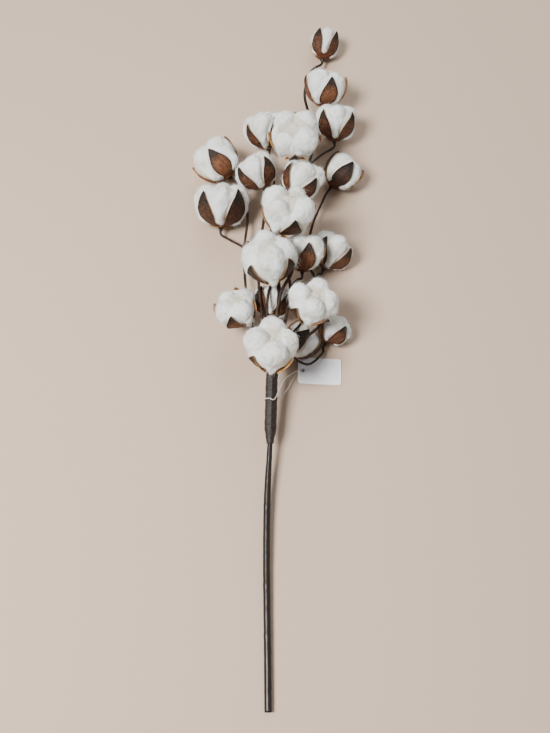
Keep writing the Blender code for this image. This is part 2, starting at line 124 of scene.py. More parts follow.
class Lumps:
    """Smooth noise on a lattice, the same every time for a seed."""

    SIZE = 4096
    HASH = np.array([73856093, 19349663, 83492791])     # large primes, one for each axis

    def __init__(self, seed: int) -> None:
        """Fills the table that the lattice's corners draw from."""
        self.table = np.random.default_rng(seed).uniform(-1.0, 1.0, self.SIZE)

    def at(self, points: Array, size: float) -> Array:
        """Noise from -1 to 1, with lumps about as wide as size.

        Args:
            points: places, with their three coordinates in the last axis.
            size: the width of a lattice cell, in the same units.

        Returns:
            One value a point: the values of its cell's eight corners, picked by a
            hash of the corner, blended by the smooth step of its place in the cell.
        """
        cell = np.floor(points / size)
        part = points / size - cell
        part = part * part * (3.0 - 2.0 * part)
        total = np.zeros(points.shape[:-1])
        for corner in np.ndindex(2, 2, 2):
            place = cell.astype(np.int64) + np.array(corner)
            key = np.bitwise_xor.reduce(place * self.HASH, axis=-1)
            weight = np.prod(np.where(np.array(corner, bool), part, 1.0 - part), axis=-1)
            total += weight * self.table[key % self.SIZE]
        return total

    def layered(self, points: Array, layers: tuple) -> Array:
        """The sum of height x noise, over layers given as (height, width of a lump)."""
        return sum(height * self.at(points, width) for height, width in layers)


def random_lumps(rng: np.random.Generator) -> Lumps:
    """Noise whose seed is the generator's next draw."""
    return Lumps(int(rng.integers(1 << 30)))


# ------------------------------------------------------------------ surfaces
@dataclass
class Skin:
    """The points and faces of one piece, with a value a point for each pattern."""
    points: list[Array] = field(default_factory=list)
    quads: list[Array] = field(default_factory=list)
    tris: list[Array] = field(default_factory=list)
    values: dict[str, list[Array]] = field(default_factory=dict)
    count: int = 0

    def add(self, points: Array, quads: Array, tris: Array, **values: Array | float) -> None:
        """Adds a closed patch.

        Args:
            points: the patch's points, in mm.
            quads: its four-sided faces, as numbers of its own points.
            tris: its three-sided faces, likewise.
            **values: for each pattern, one number a point or one for the whole patch.
        """
        self.points.append(points)
        self.quads.append(quads.reshape(-1, 4) + self.count)
        self.tris.append(tris.reshape(-1, 3) + self.count)
        for name, value in values.items():
            spread = np.broadcast_to(np.asarray(value, float), (len(points),))
            self.values.setdefault(name, []).append(spread)
        self.count += len(points)

    def add_loft(self, rings: Array, poles: Array | None = None,
                 **values: tuple[Array | float, float, float]) -> None:
        """Adds a surface over rings, drawn to one point at each end.

        Args:
            rings: the rings, row by row, as rows x columns x 3.
            poles: the two end points, or the middles of the end rings if there are none.
            **values: for each pattern, its values over the rings and at the two poles.
        """
        if poles is None:
            poles = rings[[0, -1]].mean(1)
        spread = {name: np.append(np.broadcast_to(over, rings.shape[:2]).ravel(), ends)
                  for name, (over, *ends) in values.items()}
        self.add(*loft(rings, poles[0], poles[1]), **spread)

    def piece(self, name: str, material: bpy.types.Material, slot: str, node: str) -> None:
        """Makes the object, sets it on the body, and puts it in place of its CAD node.

        Args:
            name: the object's name.
            material: its finish.
            slot: the record's material slot; not used.
            node: the CAD node that it stands for.
        """
        points = np.vstack(self.points) * MM
        quads, tris = np.vstack(self.quads), np.vstack(self.tris)
        corners = np.concatenate([quads.ravel(), tris.ravel()])
        starts = np.concatenate([np.arange(len(quads)) * 4, quads.size + np.arange(len(tris)) * 3])
        mesh = bpy.data.meshes.new(name)
        mesh.vertices.add(len(points))
        mesh.vertices.foreach_set("co", points.ravel())
        mesh.loops.add(len(corners))
        mesh.loops.foreach_set("vertex_index", corners.astype(np.int32))
        mesh.polygons.add(len(starts))
        mesh.polygons.foreach_set("loop_start", starts.astype(np.int32))
        for pattern, parts in self.values.items():
            layer = mesh.attributes.new(pattern, "FLOAT", "POINT")
            layer.data.foreach_set("value", np.concatenate(parts).astype(np.float32))
        mesh.update(calc_edges=True)
        mesh.shade_smooth()
        mesh.materials.append(material)
        made = bpy.data.objects.new(name, mesh)
        bpy.context.scene.collection.objects.link(made)
        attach(made, BODY)
        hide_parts(node)
        low, high = (np.array(corner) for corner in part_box(node))
        proud = max((points - high).max(), (low - points).max())
        log.info("%s: %d faces, %.1f mm proud of its CAD box", name, len(starts), proud / MM)


def closed_rows(rows: int, columns: int) -> Array:
    """Quads between rows of points, each row a ring; point numbers run along the rows."""
    row, column = np.meshgrid(np.arange(rows - 1), np.arange(columns), indexing="ij")
    here, right = row * columns + column, row * columns + (column + 1) % columns
    return np.stack([here, right, right + columns, here + columns], -1).reshape(-1, 4)


def loft(rings: Array, start: Array, end: Array) -> tuple[Array, Array, Array]:
    """A closed surface over rings of points, drawn to one point at each end.

    Args:
        rings: the rings, row by row, as rows x columns x 3.
        start: the point that closes the first ring.
        end: the point that closes the last ring.

    Returns:
        Points, quads and triangles. The faces look outwards when each ring runs
        anticlockwise about the way the rows go.
    """
    rows, columns = rings.shape[:2]
    points = np.vstack([rings.reshape(-1, 3), start[None], end[None]])
    here = np.arange(columns)
    right = (here + 1) % columns
    above = (rows - 1) * columns
    first = np.stack([np.full(columns, rows * columns), right, here], -1)
    last = np.stack([np.full(columns, rows * columns + 1), here + above, right + above], -1)
    return points, closed_rows(rows, columns), np.vstack([first, last])


def torus(rings: Array) -> tuple[Array, Array, Array]:
    """A closed surface over rings whose last row joins its first: points, quads, no triangles."""
    rows, columns = rings.shape[:2]
    quads = closed_rows(rows + 1, columns) % (rows * columns)
    return rings.reshape(-1, 3), quads, np.zeros((0, 3), int)


def across(route: Array, closed: bool = False) -> tuple[Array, Array]:
    """Two directions square to a route at each of its points.

    Args:
        route: the points of the route.
        closed: whether its end joins its start.

    Returns:
        The first side and the second. The first is the part, square to the tangent, of
        whichever of nine fixed directions the route keeps furthest from.
    """
    ahead = np.roll(route, -1, axis=0) - np.roll(route, 1, axis=0)
    way = unit(ahead if closed else np.gradient(route, axis=0))
    choices = unit(np.array([[1, 0, 0], [0, 1, 0], [0, 0, 1], [1, 1, 0], [1, -1, 0],
                             [1, 0, 1], [1, 0, -1], [0, 1, 1], [0, 1, -1]], float))
    fixed = choices[np.argmin(np.abs(way @ choices.T).max(0))]
    first = unit(fixed - way * (way @ fixed)[:, None])
    return first, np.cross(way, first)


def tube_rings(route: Array, radii: Array, sides: int, closed: bool = False) -> Array:
    """Rings round a route: route + radius x (first side cos a + second side sin a).

    Args:
        route: the route's points.
        radii: a radius for each point, as a column, or for each point and side.
        sides: the number of points in a ring.
        closed: whether the route is a loop.

    Returns:
        The rings as rows x sides x 3.
    """
    first, second = across(route, closed)
    outward = around_axes(first[:, None], second[:, None], circle(sides))
    return route[:, None] + outward * radii[..., None]


# ------------------------------------------------------------------ shader wires
class Wire:
    """A node's output that can be used in sums, with the Math nodes added as needed."""

    def __init__(self, sheet: "Sheet", socket: bpy.types.NodeSocket) -> None:
        """Keeps the socket and the sheet of nodes that it is on."""
        self.sheet = sheet
        self.socket = socket

    def math(self, operation: str, *values: Any) -> "Wire":
        """A Math node on some values, this wire among them."""
        return self.sheet.node("ShaderNodeMath", {"operation": operation}, dict(enumerate(values)))

    def __add__(self, other: Any) -> "Wire":
        """This plus other."""
        return self.math("ADD", self, other)

    __radd__ = __add__

    def __rsub__(self, other: Any) -> "Wire":
        """Other minus this."""
        return self.math("SUBTRACT", other, self)

    def __mul__(self, other: Any) -> "Wire":
        """This times other."""
        return self.math("MULTIPLY", self, other)

    __rmul__ = __mul__

    def __abs__(self) -> "Wire":
        """This without its sign."""
        return self.math("ABSOLUTE", self)

    def step(self, low: float, high: float) -> "Wire":
        """A smooth step of this, 0 at low and 1 at high."""
        values = {"Value": self, "From Min": low, "From Max": high}
        return self.sheet.node("ShaderNodeMapRange", {"interpolation_type": "SMOOTHSTEP"}, values)


def linear(colour: Triple) -> tuple[float, float, float, float]:
    """An sRGB colour in 0 to 255 as a linear colour with alpha, by the sRGB curve."""
    part = np.array(colour) / 255.0
    straight = np.where(part > 0.04045, ((part + 0.055) / 1.055) ** 2.4, part / 12.92)
    return (*(float(c) for c in straight), 1.0)


class Sheet:
    """The nodes of one material, with its Principled shader."""

    def __init__(self, name: str) -> None:
        """Makes the material and finds its shader."""
        self.material = bpy.data.materials.new(name)
        self.material.use_nodes = True
        self.tree = self.material.node_tree
        self.shader = self.tree.nodes["Principled BSDF"]

    def node(self, kind: str, settings: dict[str, Any] | None = None,
             inputs: dict[Any, Any] | None = None, output: Any = 0) -> Wire:
        """Adds one node.

        Args:
            kind: the node's type.
            settings: its properties, which are set first.
            inputs: values or wires by the name or number of the socket.
            output: the name or number of the socket to give back.

        Returns:
            The wire from that socket.
        """
        made = self.tree.nodes.new(kind)
        for key, value in (settings or {}).items():
            setattr(made, key, value)
        for key, value in (inputs or {}).items():
            self.feed(made.inputs[key], value)
        return Wire(self, made.outputs[output])

    def feed(self, socket: bpy.types.NodeSocket, value: Any) -> None:
        """Links a wire to a socket, or sets the socket to a value."""
        if isinstance(value, Wire):
            self.tree.links.new(value.socket, socket)
        else:
            socket.default_value = value

    def attribute(self, name: str) -> Wire:
        """The value that a piece's points carry under a name."""
        return self.node("ShaderNodeAttribute", {"attribute_name": name}, output="Fac")

    def noise(self, scale: float, detail: float = 3.0, stretch: Triple = (1.0, 1.0, 1.0),
              roughness: float = 0.5) -> Wire:
        """Noise on the object's own coordinates.

        Args:
            scale: lumps to a metre.
            detail: octaves of finer lumps.
            stretch: how much finer the lumps are along each axis.
            roughness: how strong the finer lumps are.

        Returns:
            The noise, from 0 to 1.
        """
        place = self.node("ShaderNodeTexCoord", output="Object")
        scaled = self.node("ShaderNodeMapping", {}, {"Vector": place, "Scale": stretch})
        values = {"Vector": scaled, "Scale": scale, "Detail": detail, "Roughness": roughness}
        return self.node("ShaderNodeTexNoise", {}, values)

    def mix(self, part: Any, first: Any, second: Any) -> Wire:
        """A colour between two, by a part from 0 to 1."""
        first, second = (c if isinstance(c, Wire) else linear(c) for c in (first, second))
        return self.node("ShaderNodeMix", {"data_type": "RGBA"}, {0: part, 6: first, 7: second}, 2)

    def bump(self, height: Wire, depth: float, strength: float = 1.0) -> Wire:
        """A normal that follows a height from 0 to 1, depth metres deep."""
        values = {"Height": height, "Distance": depth, "Strength": strength}
        return self.node("ShaderNodeBump", {}, values)

    def dress(self, **sockets: Any) -> bpy.types.Material:
        """Sets or links the shader's sockets, named with _ for a space, and gives the material."""
        for name, value in sockets.items():
            self.feed(self.shader.inputs[name.replace("_", " ")], value)
        return self.material


# ------------------------------------------------------------------ finishes
# Colours are sRGB in 0 to 255. Each bump's depth and each Subsurface Scale is in metres.
@dataclass(frozen=True)
class CottonFinish:
    """Loose white lint: soft, dull, a little cream down in the folds, where shade is also painted in.
    """
    light: Triple = (236, 240, 240)
    shade: Triple = (220, 220, 211)
    # a cream tint and painted shade, laid into the folds by their depth
    fold: Triple = (198, 187, 166)
    speck: Triple = (150, 116, 80)
    drawn: Triple = (1.0, 0.45, 1.0)        # the fibres' noise is drawn out along Y
    relief: float = 0.0007

    def material(self) -> bpy.types.Material:
        """White varied by slow noise, tinted cream and darkened with painted shade in the folds, with
        a few bits of leaf.
        """
        sheet = Sheet("cotton_lint")
        drift = sheet.noise(55.0, 4.0).step(0.35, 0.7)
        colour = sheet.mix(drift, self.light, self.shade)
        # painted shade: the folds are darkened and tinted cream by how deep they are
        fold = sheet.attribute("fold").step(0.45, 1.0) * 0.75
        colour = sheet.mix(fold, colour, self.fold)
        specks = sheet.noise(640.0, 2.0).step(0.755, 0.79) * 0.6
        colour = sheet.mix(specks, colour, self.speck)
        fibres = sheet.noise(900.0, 5.0, self.drawn, 0.65) + 0.6 * sheet.noise(260.0, 3.0)
        return sheet.dress(Base_Color=colour, Roughness=0.95, Subsurface_Weight=0.1,
                           Subsurface_Scale=0.003, Sheen_Weight=0.35, Sheen_Roughness=0.6,
                           Specular_IOR_Level=0.2, Normal=sheet.bump(fibres, self.relief, 0.8))


@dataclass(frozen=True)
class HuskFinish:
    """Dry seed husk: mottled brown outside, dark at its edges and tip, tan inside."""
    deep: Triple = (40, 21, 11)
    middle: Triple = (98, 55, 33)
    pale: Triple = (136, 90, 58)
    edge: Triple = (18, 10, 7)
    tip: Triple = (17, 14, 9)
    base: Triple = (98, 42, 26)
    inside: Triple = (196, 146, 84)
    inside_deep: Triple = (138, 84, 44)
    veins_across: float = 9.0               # veins in half a valve's width
    veins_along: float = 2.4                # how often they break on the way to the tip
    relief: float = 0.0006

    def veins(self, sheet: Sheet, along: Wire, tone: Wire) -> Wire:
        """Noise in the valve's own across and along, shifted by its tone, so veins run to the tip."""
        place = {0: sheet.attribute("across") * self.veins_across, 1: along * self.veins_along,
                 2: tone * self.veins_across}
        spread = sheet.node("ShaderNodeCombineXYZ", {}, place)
        return sheet.node("ShaderNodeTexNoise", {}, {"Vector": spread, "Scale": 1.0, "Detail": 3.0})

    def skin(self, sheet: Sheet, along: Wire, mottle: Wire, veins: Wire, tone: Wire) -> Wire:
        """The outside's colour: brown by three noises, reddish at the base, dark at edge and tip.

        Args:
            sheet: the material's nodes.
            along: how far towards the tip, 0 to 1.
            mottle: the slow noise, which the roughness shares.
            veins: the veins' noise.
            tone: how pale this husk is.

        Returns:
            The colour.
        """
        brown = sheet.mix((mottle + 0.18 * tone).step(0.36, 0.66), self.deep, self.middle)
        grain = sheet.noise(620.0, 5.0, roughness=0.6) + 0.14 * tone
        brown = sheet.mix(grain.step(0.46, 0.72) * 0.8, brown, self.pale)
        specks = sheet.noise(1300.0, 2.0).step(0.60, 0.68) * 0.6
        brown = sheet.mix(specks, brown, self.edge)
        brown = sheet.mix((1.0 - along.step(0.12, 0.42)) * 0.7, brown, self.base)
        brown = sheet.mix(veins.step(0.5, 0.62) * 0.35, brown, self.deep)
        worn = sheet.noise(340.0, 3.0) * 0.30
        side = abs(sheet.attribute("across"))
        brown = sheet.mix((side + worn).step(0.86, 1.12) * 0.92, brown, self.edge)
        return sheet.mix((along + worn).step(0.82, 1.06) * 0.9, brown, self.tip)

    def material(self) -> bpy.types.Material:
        """The brown outside, and tan where inside is high, dimmer towards the tip."""
        sheet = Sheet("seed_husk")
        along, tone = sheet.attribute("along"), sheet.attribute("tone")
        mottle = sheet.noise(260.0, 6.0, roughness=0.65)
        veins = self.veins(sheet, along, tone)
        brown = self.skin(sheet, along, mottle, veins, tone)
        tan = sheet.mix(sheet.noise(260.0, 4.0).step(0.4, 0.75), self.inside, self.inside_deep)
        lining = sheet.attribute("inside") * (1.0 - 0.7 * along.step(0.86, 1.0))
        fine = sheet.noise(420.0, 5.0, roughness=0.65) + 0.5 * sheet.noise(1500.0, 2.0)
        return sheet.dress(Base_Color=sheet.mix(lining, brown, tan), Roughness=0.52 + 0.25 * mottle,
                           Specular_IOR_Level=0.4,
                           Normal=sheet.bump(fine + 0.5 * veins, self.relief, 0.9))


@dataclass(frozen=True)
class BarkFinish:
    """Dark dry bark of the branches, lightly ridged along them."""
    deep: Triple = (26, 15, 9)
    middle: Triple = (58, 37, 25)
    pale: Triple = (96, 68, 48)
    drawn: Triple = (1.0, 0.16, 1.0)
    relief: float = 0.0005

    def material(self) -> bpy.types.Material:
        """Dark brown from noise drawn out along the branch, with pale scuffs."""
        sheet = Sheet("branch_bark")
        grain = sheet.noise(700.0, 4.0, self.drawn, 0.6)
        colour = sheet.mix(grain.step(0.35, 0.7), self.deep, self.middle)
        scuffs = sheet.noise(160.0, 4.0).step(0.6, 0.78) * 0.6
        colour = sheet.mix(scuffs, colour, self.pale)
        return sheet.dress(Base_Color=colour, Roughness=0.5 + 0.3 * grain,
                           Specular_IOR_Level=0.4, Normal=sheet.bump(grain, self.relief, 0.9))


@dataclass(frozen=True)
class StemFinish:
    """The main stem's glossy sleeve, near-black brown."""
    deep: Triple = (15, 8, 4)
    middle: Triple = (36, 22, 14)
    drawn: Triple = (1.0, 0.08, 1.0)
    relief: float = 0.0003

    def material(self) -> bpy.types.Material:
        """Near black with faint streaks, glossy, dulled in patches."""
        sheet = Sheet("stem_sleeve")
        streak = sheet.noise(420.0, 4.0, self.drawn, 0.6)
        patch = sheet.noise(70.0, 3.0)
        colour = sheet.mix(streak.step(0.4, 0.72), self.deep, self.middle)
        return sheet.dress(Base_Color=colour, Roughness=0.26 + 0.24 * patch,
                           Coat_Weight=0.12, Coat_Roughness=0.22, Specular_IOR_Level=0.38,
                           Normal=sheet.bump(streak + 0.4 * patch, self.relief, 0.7))


@dataclass(frozen=True)
class TapeFinish:
    """Waxed crepe tape, dark brown, paler on its crinkles."""
    deep: Triple = (24, 15, 10)
    middle: Triple = (52, 36, 27)
    drawn: Triple = (0.35, 1.0, 0.35)
    relief: float = 0.0005

    def material(self) -> bpy.types.Material:
        """Dark brown, paler where ridge is high, with fine crinkles round the stem."""
        sheet = Sheet("wrap_tape")
        crinkle = sheet.noise(1300.0, 3.0, self.drawn, 0.6)
        colour = sheet.mix(crinkle.step(0.45, 0.75), self.deep, self.middle)
        colour = sheet.mix(sheet.attribute("ridge").step(0.7, 1.0) * 0.45, colour, self.middle)
        return sheet.dress(Base_Color=colour, Roughness=0.42 + 0.2 * crinkle,
                           Normal=sheet.bump(crinkle, self.relief, 0.9))


@dataclass(frozen=True)
class CardFinish:
    """Coated white card with a faint mottle, greyer on its cut edge."""
    face: Triple = (246, 247, 248)
    mottle: Triple = (234, 235, 238)
    edge: Triple = (196, 192, 186)
    relief: float = 0.0001

    def material(self) -> bpy.types.Material:
        """White with a slow mottle, and the edge's grey where rim is high."""
        sheet = Sheet("tag_card")
        cloud = sheet.noise(120.0, 4.0)
        colour = sheet.mix(cloud.step(0.4, 0.75), self.face, self.mottle)
        colour = sheet.mix(sheet.attribute("rim"), colour, self.edge)
        return sheet.dress(Base_Color=colour, Roughness=0.38 + 0.15 * cloud,
                           Normal=sheet.bump(sheet.noise(2200.0, 3.0), self.relief, 0.5))


@dataclass(frozen=True)
class NylonFinish:
    """Clear-white nylon thread."""
    body: Triple = (214, 214, 210)
    dull: Triple = (190, 190, 184)

    def material(self) -> bpy.types.Material:
        """Off-white, a little cloudy along its length."""
        sheet = Sheet("nylon_thread")
        cloud = sheet.noise(300.0, 3.0)
        colour = sheet.mix(cloud.step(0.4, 0.7), self.body, self.dull)
        return sheet.dress(Base_Color=colour, Roughness=0.25 + 0.15 * cloud,
                           Subsurface_Weight=0.2, Subsurface_Scale=0.001)


# ------------------------------------------------------------------ bolls
@dataclass(frozen=True)
class Spread:
    """How a boll has opened. Lengths are against the boll's radius, angles in degrees."""
    tip_angle: float            # from the base pole to a valve's tip
    swell: float                # how far the locks stand out between the valves
    out: float                  # from the boll's middle to a lock's
    size: float                 # radius of a lock's ball
    lean: float                 # from the base pole to a lock's middle
    core: float                 # radius of the cotton that fills the middle


class Opening(Enum):
    """The three stages that the bolls are at."""
    HALF = Spread(132.0, 1.00, 0.34, 0.67, 106.0, 0.76)
    OPEN = Spread(116.0, 1.04, 0.53, 0.53, 113.0, 0.66)
    WIDE = Spread(98.0, 1.05, 0.61, 0.48, 112.0, 0.54)


@dataclass
class Boll:
    """One cotton boll: white locks that bulge between the pointed valves of a husk."""
    centre: Triple
    heading: float              # degrees in plan, 90 is towards the tip
    rise: float                 # degrees above level
    radius: float
    opening: Opening
    roll: float = 0.0           # degrees from FRONT to the first valve
    stretch: float = 1.0        # length along its axis against its width
    tone: float = 0.0           # how pale the husk is, -1 to 1

    VALVES = 4
    PITCH = TURN / VALVES
    FRONT = unit(np.array([0.0, -0.4, 0.9]))
    HUSK = ((0.0, 0.22, 0.45, 0.66, 0.85, 1.0), (0.84, 0.87, 0.89, 0.91, 0.93, 0.95))
    KNOB = 1.5                  # from the husk's inside to the twig's end, mm
    LENS_FOOT = 0.17            # how far up a valve its lens begins
    LENS_WIDTH = 0.38           # half the lens's width, against the boll's radius
    LENS_POWER = 0.9            # lower is fuller
    SPIKE = 0.8                 # half the width of the spike in the lens, mm
    CUP_TOP = 0.24              # how far up the valves stay joined
    CUP_FALL = 0.34             # and how much further the round bottoms of the locks reach
    MOST = 0.985                # the most of the angle that a valve fills

    @property
    def tip(self) -> float:
        """The angle from the base pole to a valve's tip."""
        return math.radians(self.opening.value.tip_angle)

    @property
    def axis(self) -> Array:
        """The way the boll points."""
        heading, rise = math.radians(self.heading), math.radians(self.rise)
        return np.array([math.cos(rise) * math.cos(heading),
                         math.cos(rise) * math.sin(heading), math.sin(rise)])

    def base(self) -> Array:
        """Where the twig meets the underside of the husk."""
        depth = self.HUSK[1][0] * self.radius * self.stretch + self.KNOB
        return np.array(self.centre) - self.axis * depth

    def place(self, from_base: Array, around: Array, radius: Array) -> Array:
        """Points in the model's frame.

        Args:
            from_base: the angle from the base pole.
            around: the angle round the axis from the first valve.
            radius: the distance from the boll's middle.

        Returns:
            The centre + first side x sin cos + second side x sin sin - axis x cos,
            times the radius, with the length along the axis times the stretch.
        """
        front = unit(self.FRONT - self.axis * float(self.FRONT @ self.axis))
        first = turned_about(self.axis, math.radians(self.roll), front)
        second = np.cross(self.axis, first)
        wide = (np.sin(from_base) * radius)[..., None]
        tall = (-np.cos(from_base) * radius * self.stretch)[..., None]
        return np.array(self.centre) + wide * around_axes(first, second, around) + tall * self.axis

    def husk_radius(self, part: Array) -> Array:
        """The inside of the husk at a part of the way to a valve's tip."""
        return self.radius * np.interp(part, *self.HUSK)

    def half_valve(self, part: Array) -> Array:
        """Half the angle that a valve fills.

        Args:
            part: how far up the valve, 0 at the base pole and 1 at the tip.

        Returns:
            The angle of a lens above a cup. The lens's half width is its width x
            sin(pi x)^power, where x runs from 0 at its foot to 1 at the tip, with a thin
            spike x root(1 - part) added. The cup fills the whole angle to its top, then
            falls as 1 - root((part - top) / fall), a round bottom for each lock.
        """
        inner = np.clip(part, 0.0, 1.0)
        rise = ((inner - self.LENS_FOOT) / (1.0 - self.LENS_FOOT)).clip(0.0)
        lens = np.sin(math.pi * rise).clip(0.0) ** self.LENS_POWER
        width = self.LENS_WIDTH * self.radius * lens + self.SPIKE * np.sqrt(1.0 - inner)
        ring = np.maximum(self.husk_radius(inner) * np.sin(inner * self.tip), 0.3)
        fall = ((inner - self.CUP_TOP) / self.CUP_FALL).clip(0.0, 1.0)
        cup = self.PITCH / 2 * (1.0 - np.sqrt(fall))
        half = np.minimum(np.maximum(width / ring, cup), self.MOST * self.PITCH / 2)
        return np.where(part < 1.0, half, 0.0)

    def gaps(self) -> Array:
        """How far each edge of each valve stands off its lock, 0 to 1, in order round the boll."""
        seed = int(abs(self.centre[0]) * 31 + abs(self.centre[1]) * 7 + self.centre[2])
        return np.random.default_rng(seed).uniform(0.0, 1.0, 2 * self.VALVES) ** 0.8

    def build(self, number: str, husk: bpy.types.Material, cotton: bpy.types.Material) -> None:
        """Builds the husk, the cotton and the cotton's loose fibres, a piece each."""
        Husk(self).build(number, husk)
        Cotton(self).build(number, cotton)


def on_floor(points: Array, soft: float) -> Array:
    """Points lifted to the floor, softly: z becomes (z + root(z^2 + soft^2)) / 2."""
    points = points.copy()
    points[..., 2] = 0.5 * (points[..., 2] + np.sqrt(points[..., 2] ** 2 + soft ** 2))
    return points


@dataclass
class Cotton:
    """A boll's cotton: a lock between each two valves. Lengths in mm, angles in degrees."""
    boll: Boll
    rows: int = 84
    columns: int = 160
    bed: float = 0.6            # room between a valve and the cotton under it
    sharp: int = 22             # the power that blends the locks: higher is a deeper crease
    cover: tuple[float, float] = (-6.0, 16.0)   # round the tips, where the crown takes over
    above: float = 55.0         # from here up the locks lean towards the crown
    sway: float = 0.14          # how far a lock strays round the boll, radians
    tip: float = 10.0           # how far it leans out of line
    uneven: float = 0.10        # how far its size strays, against its size
    gap: tuple[float, float] = (0.01, 0.09)     # least, and how much more, beside a valve
    soft: float = 1.2           # how softly the cotton is pressed on the floor

    CREST = ((0, 22, 42, 66, 100), (0.80, 0.86, 0.95, 1.0, 1.0))   # degrees up, against the swell

    def crown(self, ray: Array, rng: np.random.Generator) -> Array:
        """How far out the cotton stands above the valves: a ball for each lock, and a core.

        A ray from the boll's middle leaves a ball at b + root(b^2 - c^2 + s^2), where c
        is the distance to the ball's middle, b the ray's part of it and s the ball's
        size. The locks and the core blend as the nth root of the sum of nth powers.

        Args:
            ray: unit directions from the boll's middle, in the boll's own frame.
            rng: where the differences between locks come from.

        Returns:
            The distance along each ray, against the boll's radius.
        """
        stage = self.boll.opening.value
        total = np.full(ray.shape[:-1], stage.core ** self.sharp)
        for lock in range(Boll.VALVES):
            around = (lock + 0.5) * Boll.PITCH + rng.uniform(-self.sway, self.sway)
            lean = math.radians(stage.lean + rng.uniform(-self.tip, self.tip))
            size = stage.size * (1.0 + rng.uniform(-self.uneven, self.uneven))
            middle = stage.out * np.array([math.sin(lean) * math.cos(around),
                                           math.sin(lean) * math.sin(around), -math.cos(lean)])
            part = ray @ middle
            inside = part ** 2 - stage.out ** 2 + size ** 2
            far = np.where(inside > 0.0, part + np.sqrt(inside.clip(0.0)), 0.0)
            total += far.clip(0.0) ** self.sharp
        return total ** (1.0 / self.sharp)

    def beyond_valves(self, around: Array, part: Array) -> Array:
        """How far each point is from the nearest valve's edge, 0, to its lock's middle, 1.

        Args:
            around: the angle round the boll from the first valve.
            part: how far up a valve, 1 at its tip.

        Returns:
            The part of the way, with each edge set off from the valve by its own gap.
        """
        boll, half_pitch = self.boll, Boll.PITCH / 2
        aside = np.abs((around + half_pitch) % Boll.PITCH - half_pitch)
        edge = (around / half_pitch).astype(int) % (2 * Boll.VALVES)
        gap = (self.gap[0] + self.gap[1] * boll.gaps()[edge]) * ease(part, 0.3, 0.5)
        start = np.minimum(boll.half_valve(part) + gap, half_pitch - 0.004)
        return np.clip((aside - start) / (half_pitch - start), 0.0, 1.0)

    def wool(self, flat: Array, rng: np.random.Generator) -> Array:
        """How far the lumps of the wool stand out.

        Args:
            flat: the points of a plain ball of the boll's size.
            rng: where the noise's seed comes from.

        Returns:
            A sum of noises in mm, each set off from the last: two that grow with the boll,
            0.6 and 0.3 of its radius wide, 3.4 mm lumps, and 1.9 mm ones drawn out along
            the axis and bent by slower noise.
        """
        size, lumps = self.boll.radius, random_lumps(rng)
        bent = flat * (1.0, 1.0, 0.4) + 1.6 * lumps.at(flat, 6.0)[..., None]
        return (0.045 * size * lumps.at(flat, 0.6 * size)
                + 0.055 * size * lumps.at(flat + 50.0, 0.3 * size)
                + 0.55 * lumps.at(flat + 20.0, 3.4) + 0.5 * lumps.at(bent + 90.0, 1.9))

    def surface(self, rng: np.random.Generator) -> tuple[Array, Array, Array, Array]:
        """The outside of the cotton.

        Between the valves the radius is bed + (crest - bed) x root(1 - (1 - beyond)^2),
        and the wool is added where it shows. Above the valves the crown's shape takes
        over from both the bed and the crest.

        Args:
            rng: where the differences between locks come from.

        Returns:
            The rings, how deep in a fold each point is (for the cream tint and painted
            shade there), how far it shows, and the two poles.
        """
        boll, stage, size = self.boll, self.boll.opening.value, self.boll.radius
        from_base, around = np.meshgrid(np.linspace(0.0, math.pi, self.rows + 2),
                                        circle(self.columns), indexing="ij")
        ray = np.stack([np.sin(from_base) * np.cos(around), np.sin(from_base) * np.sin(around),
                        -np.cos(from_base)], -1)
        part, degrees = from_base / boll.tip, np.degrees(from_base)
        beyond = self.beyond_valves(around, part)
        swell = np.sqrt(1.0 - (1.0 - beyond) ** 2)
        top = self.crown(ray, rng) * size
        low, high = (stage.tip_angle + off for off in self.cover)
        over = ease(degrees, low, high)
        bed = (boll.husk_radius(np.minimum(part, 1.0)) - self.bed) * (1.0 - over) + top * over
        crest = size * stage.swell * np.interp(degrees, *self.CREST)
        lifted = ease(degrees, self.above, stage.tip_angle)
        crest = np.maximum(crest * (1.0 - lifted) + top * lifted, bed)
        shows = np.maximum(ease(beyond, 0.05, 0.5), over)
        radius = bed + (crest - bed) * swell + shows * self.wool(ray * size, rng)
        # how deep in a fold each point is: this lays the cream tint and painted shade into the
        # creases
        fold = np.maximum(1.0 - swell, over) * ease(size - radius, 0.10 * size, 0.34 * size)
        radius[0], radius[-1] = radius[0].mean(), radius[-1].mean()
        points = on_floor(boll.place(from_base, around, radius), self.soft)
        return points[1:-1], fold[1:-1], shows[1:-1], points[[0, -1], 0]

    def build(self, number: str, material: bpy.types.Material) -> None:
        """Builds the cotton, and its loose fibres as a piece of their own.

        Args:
            number: the boll's number, as in its nodes' names.
            material: the cotton's finish.
        """
        rng = np.random.default_rng(700 + int(number))
        rings, fold, shows, poles = self.surface(rng)
        cotton, threads = Skin(), Skin()
        # the fold values carry the cream tint and painted shade of the creases
        cotton.add_loft(rings, poles, fold=(fold, 1.0, 0.3))
        cotton.piece("lint_" + number, material, "cotton", "cotton_" + number)
        Fibres().add(threads, rings, shows, self.boll.radius, rng)
        threads.piece("fibres_" + number, material, "cotton", "cotton_" + number)


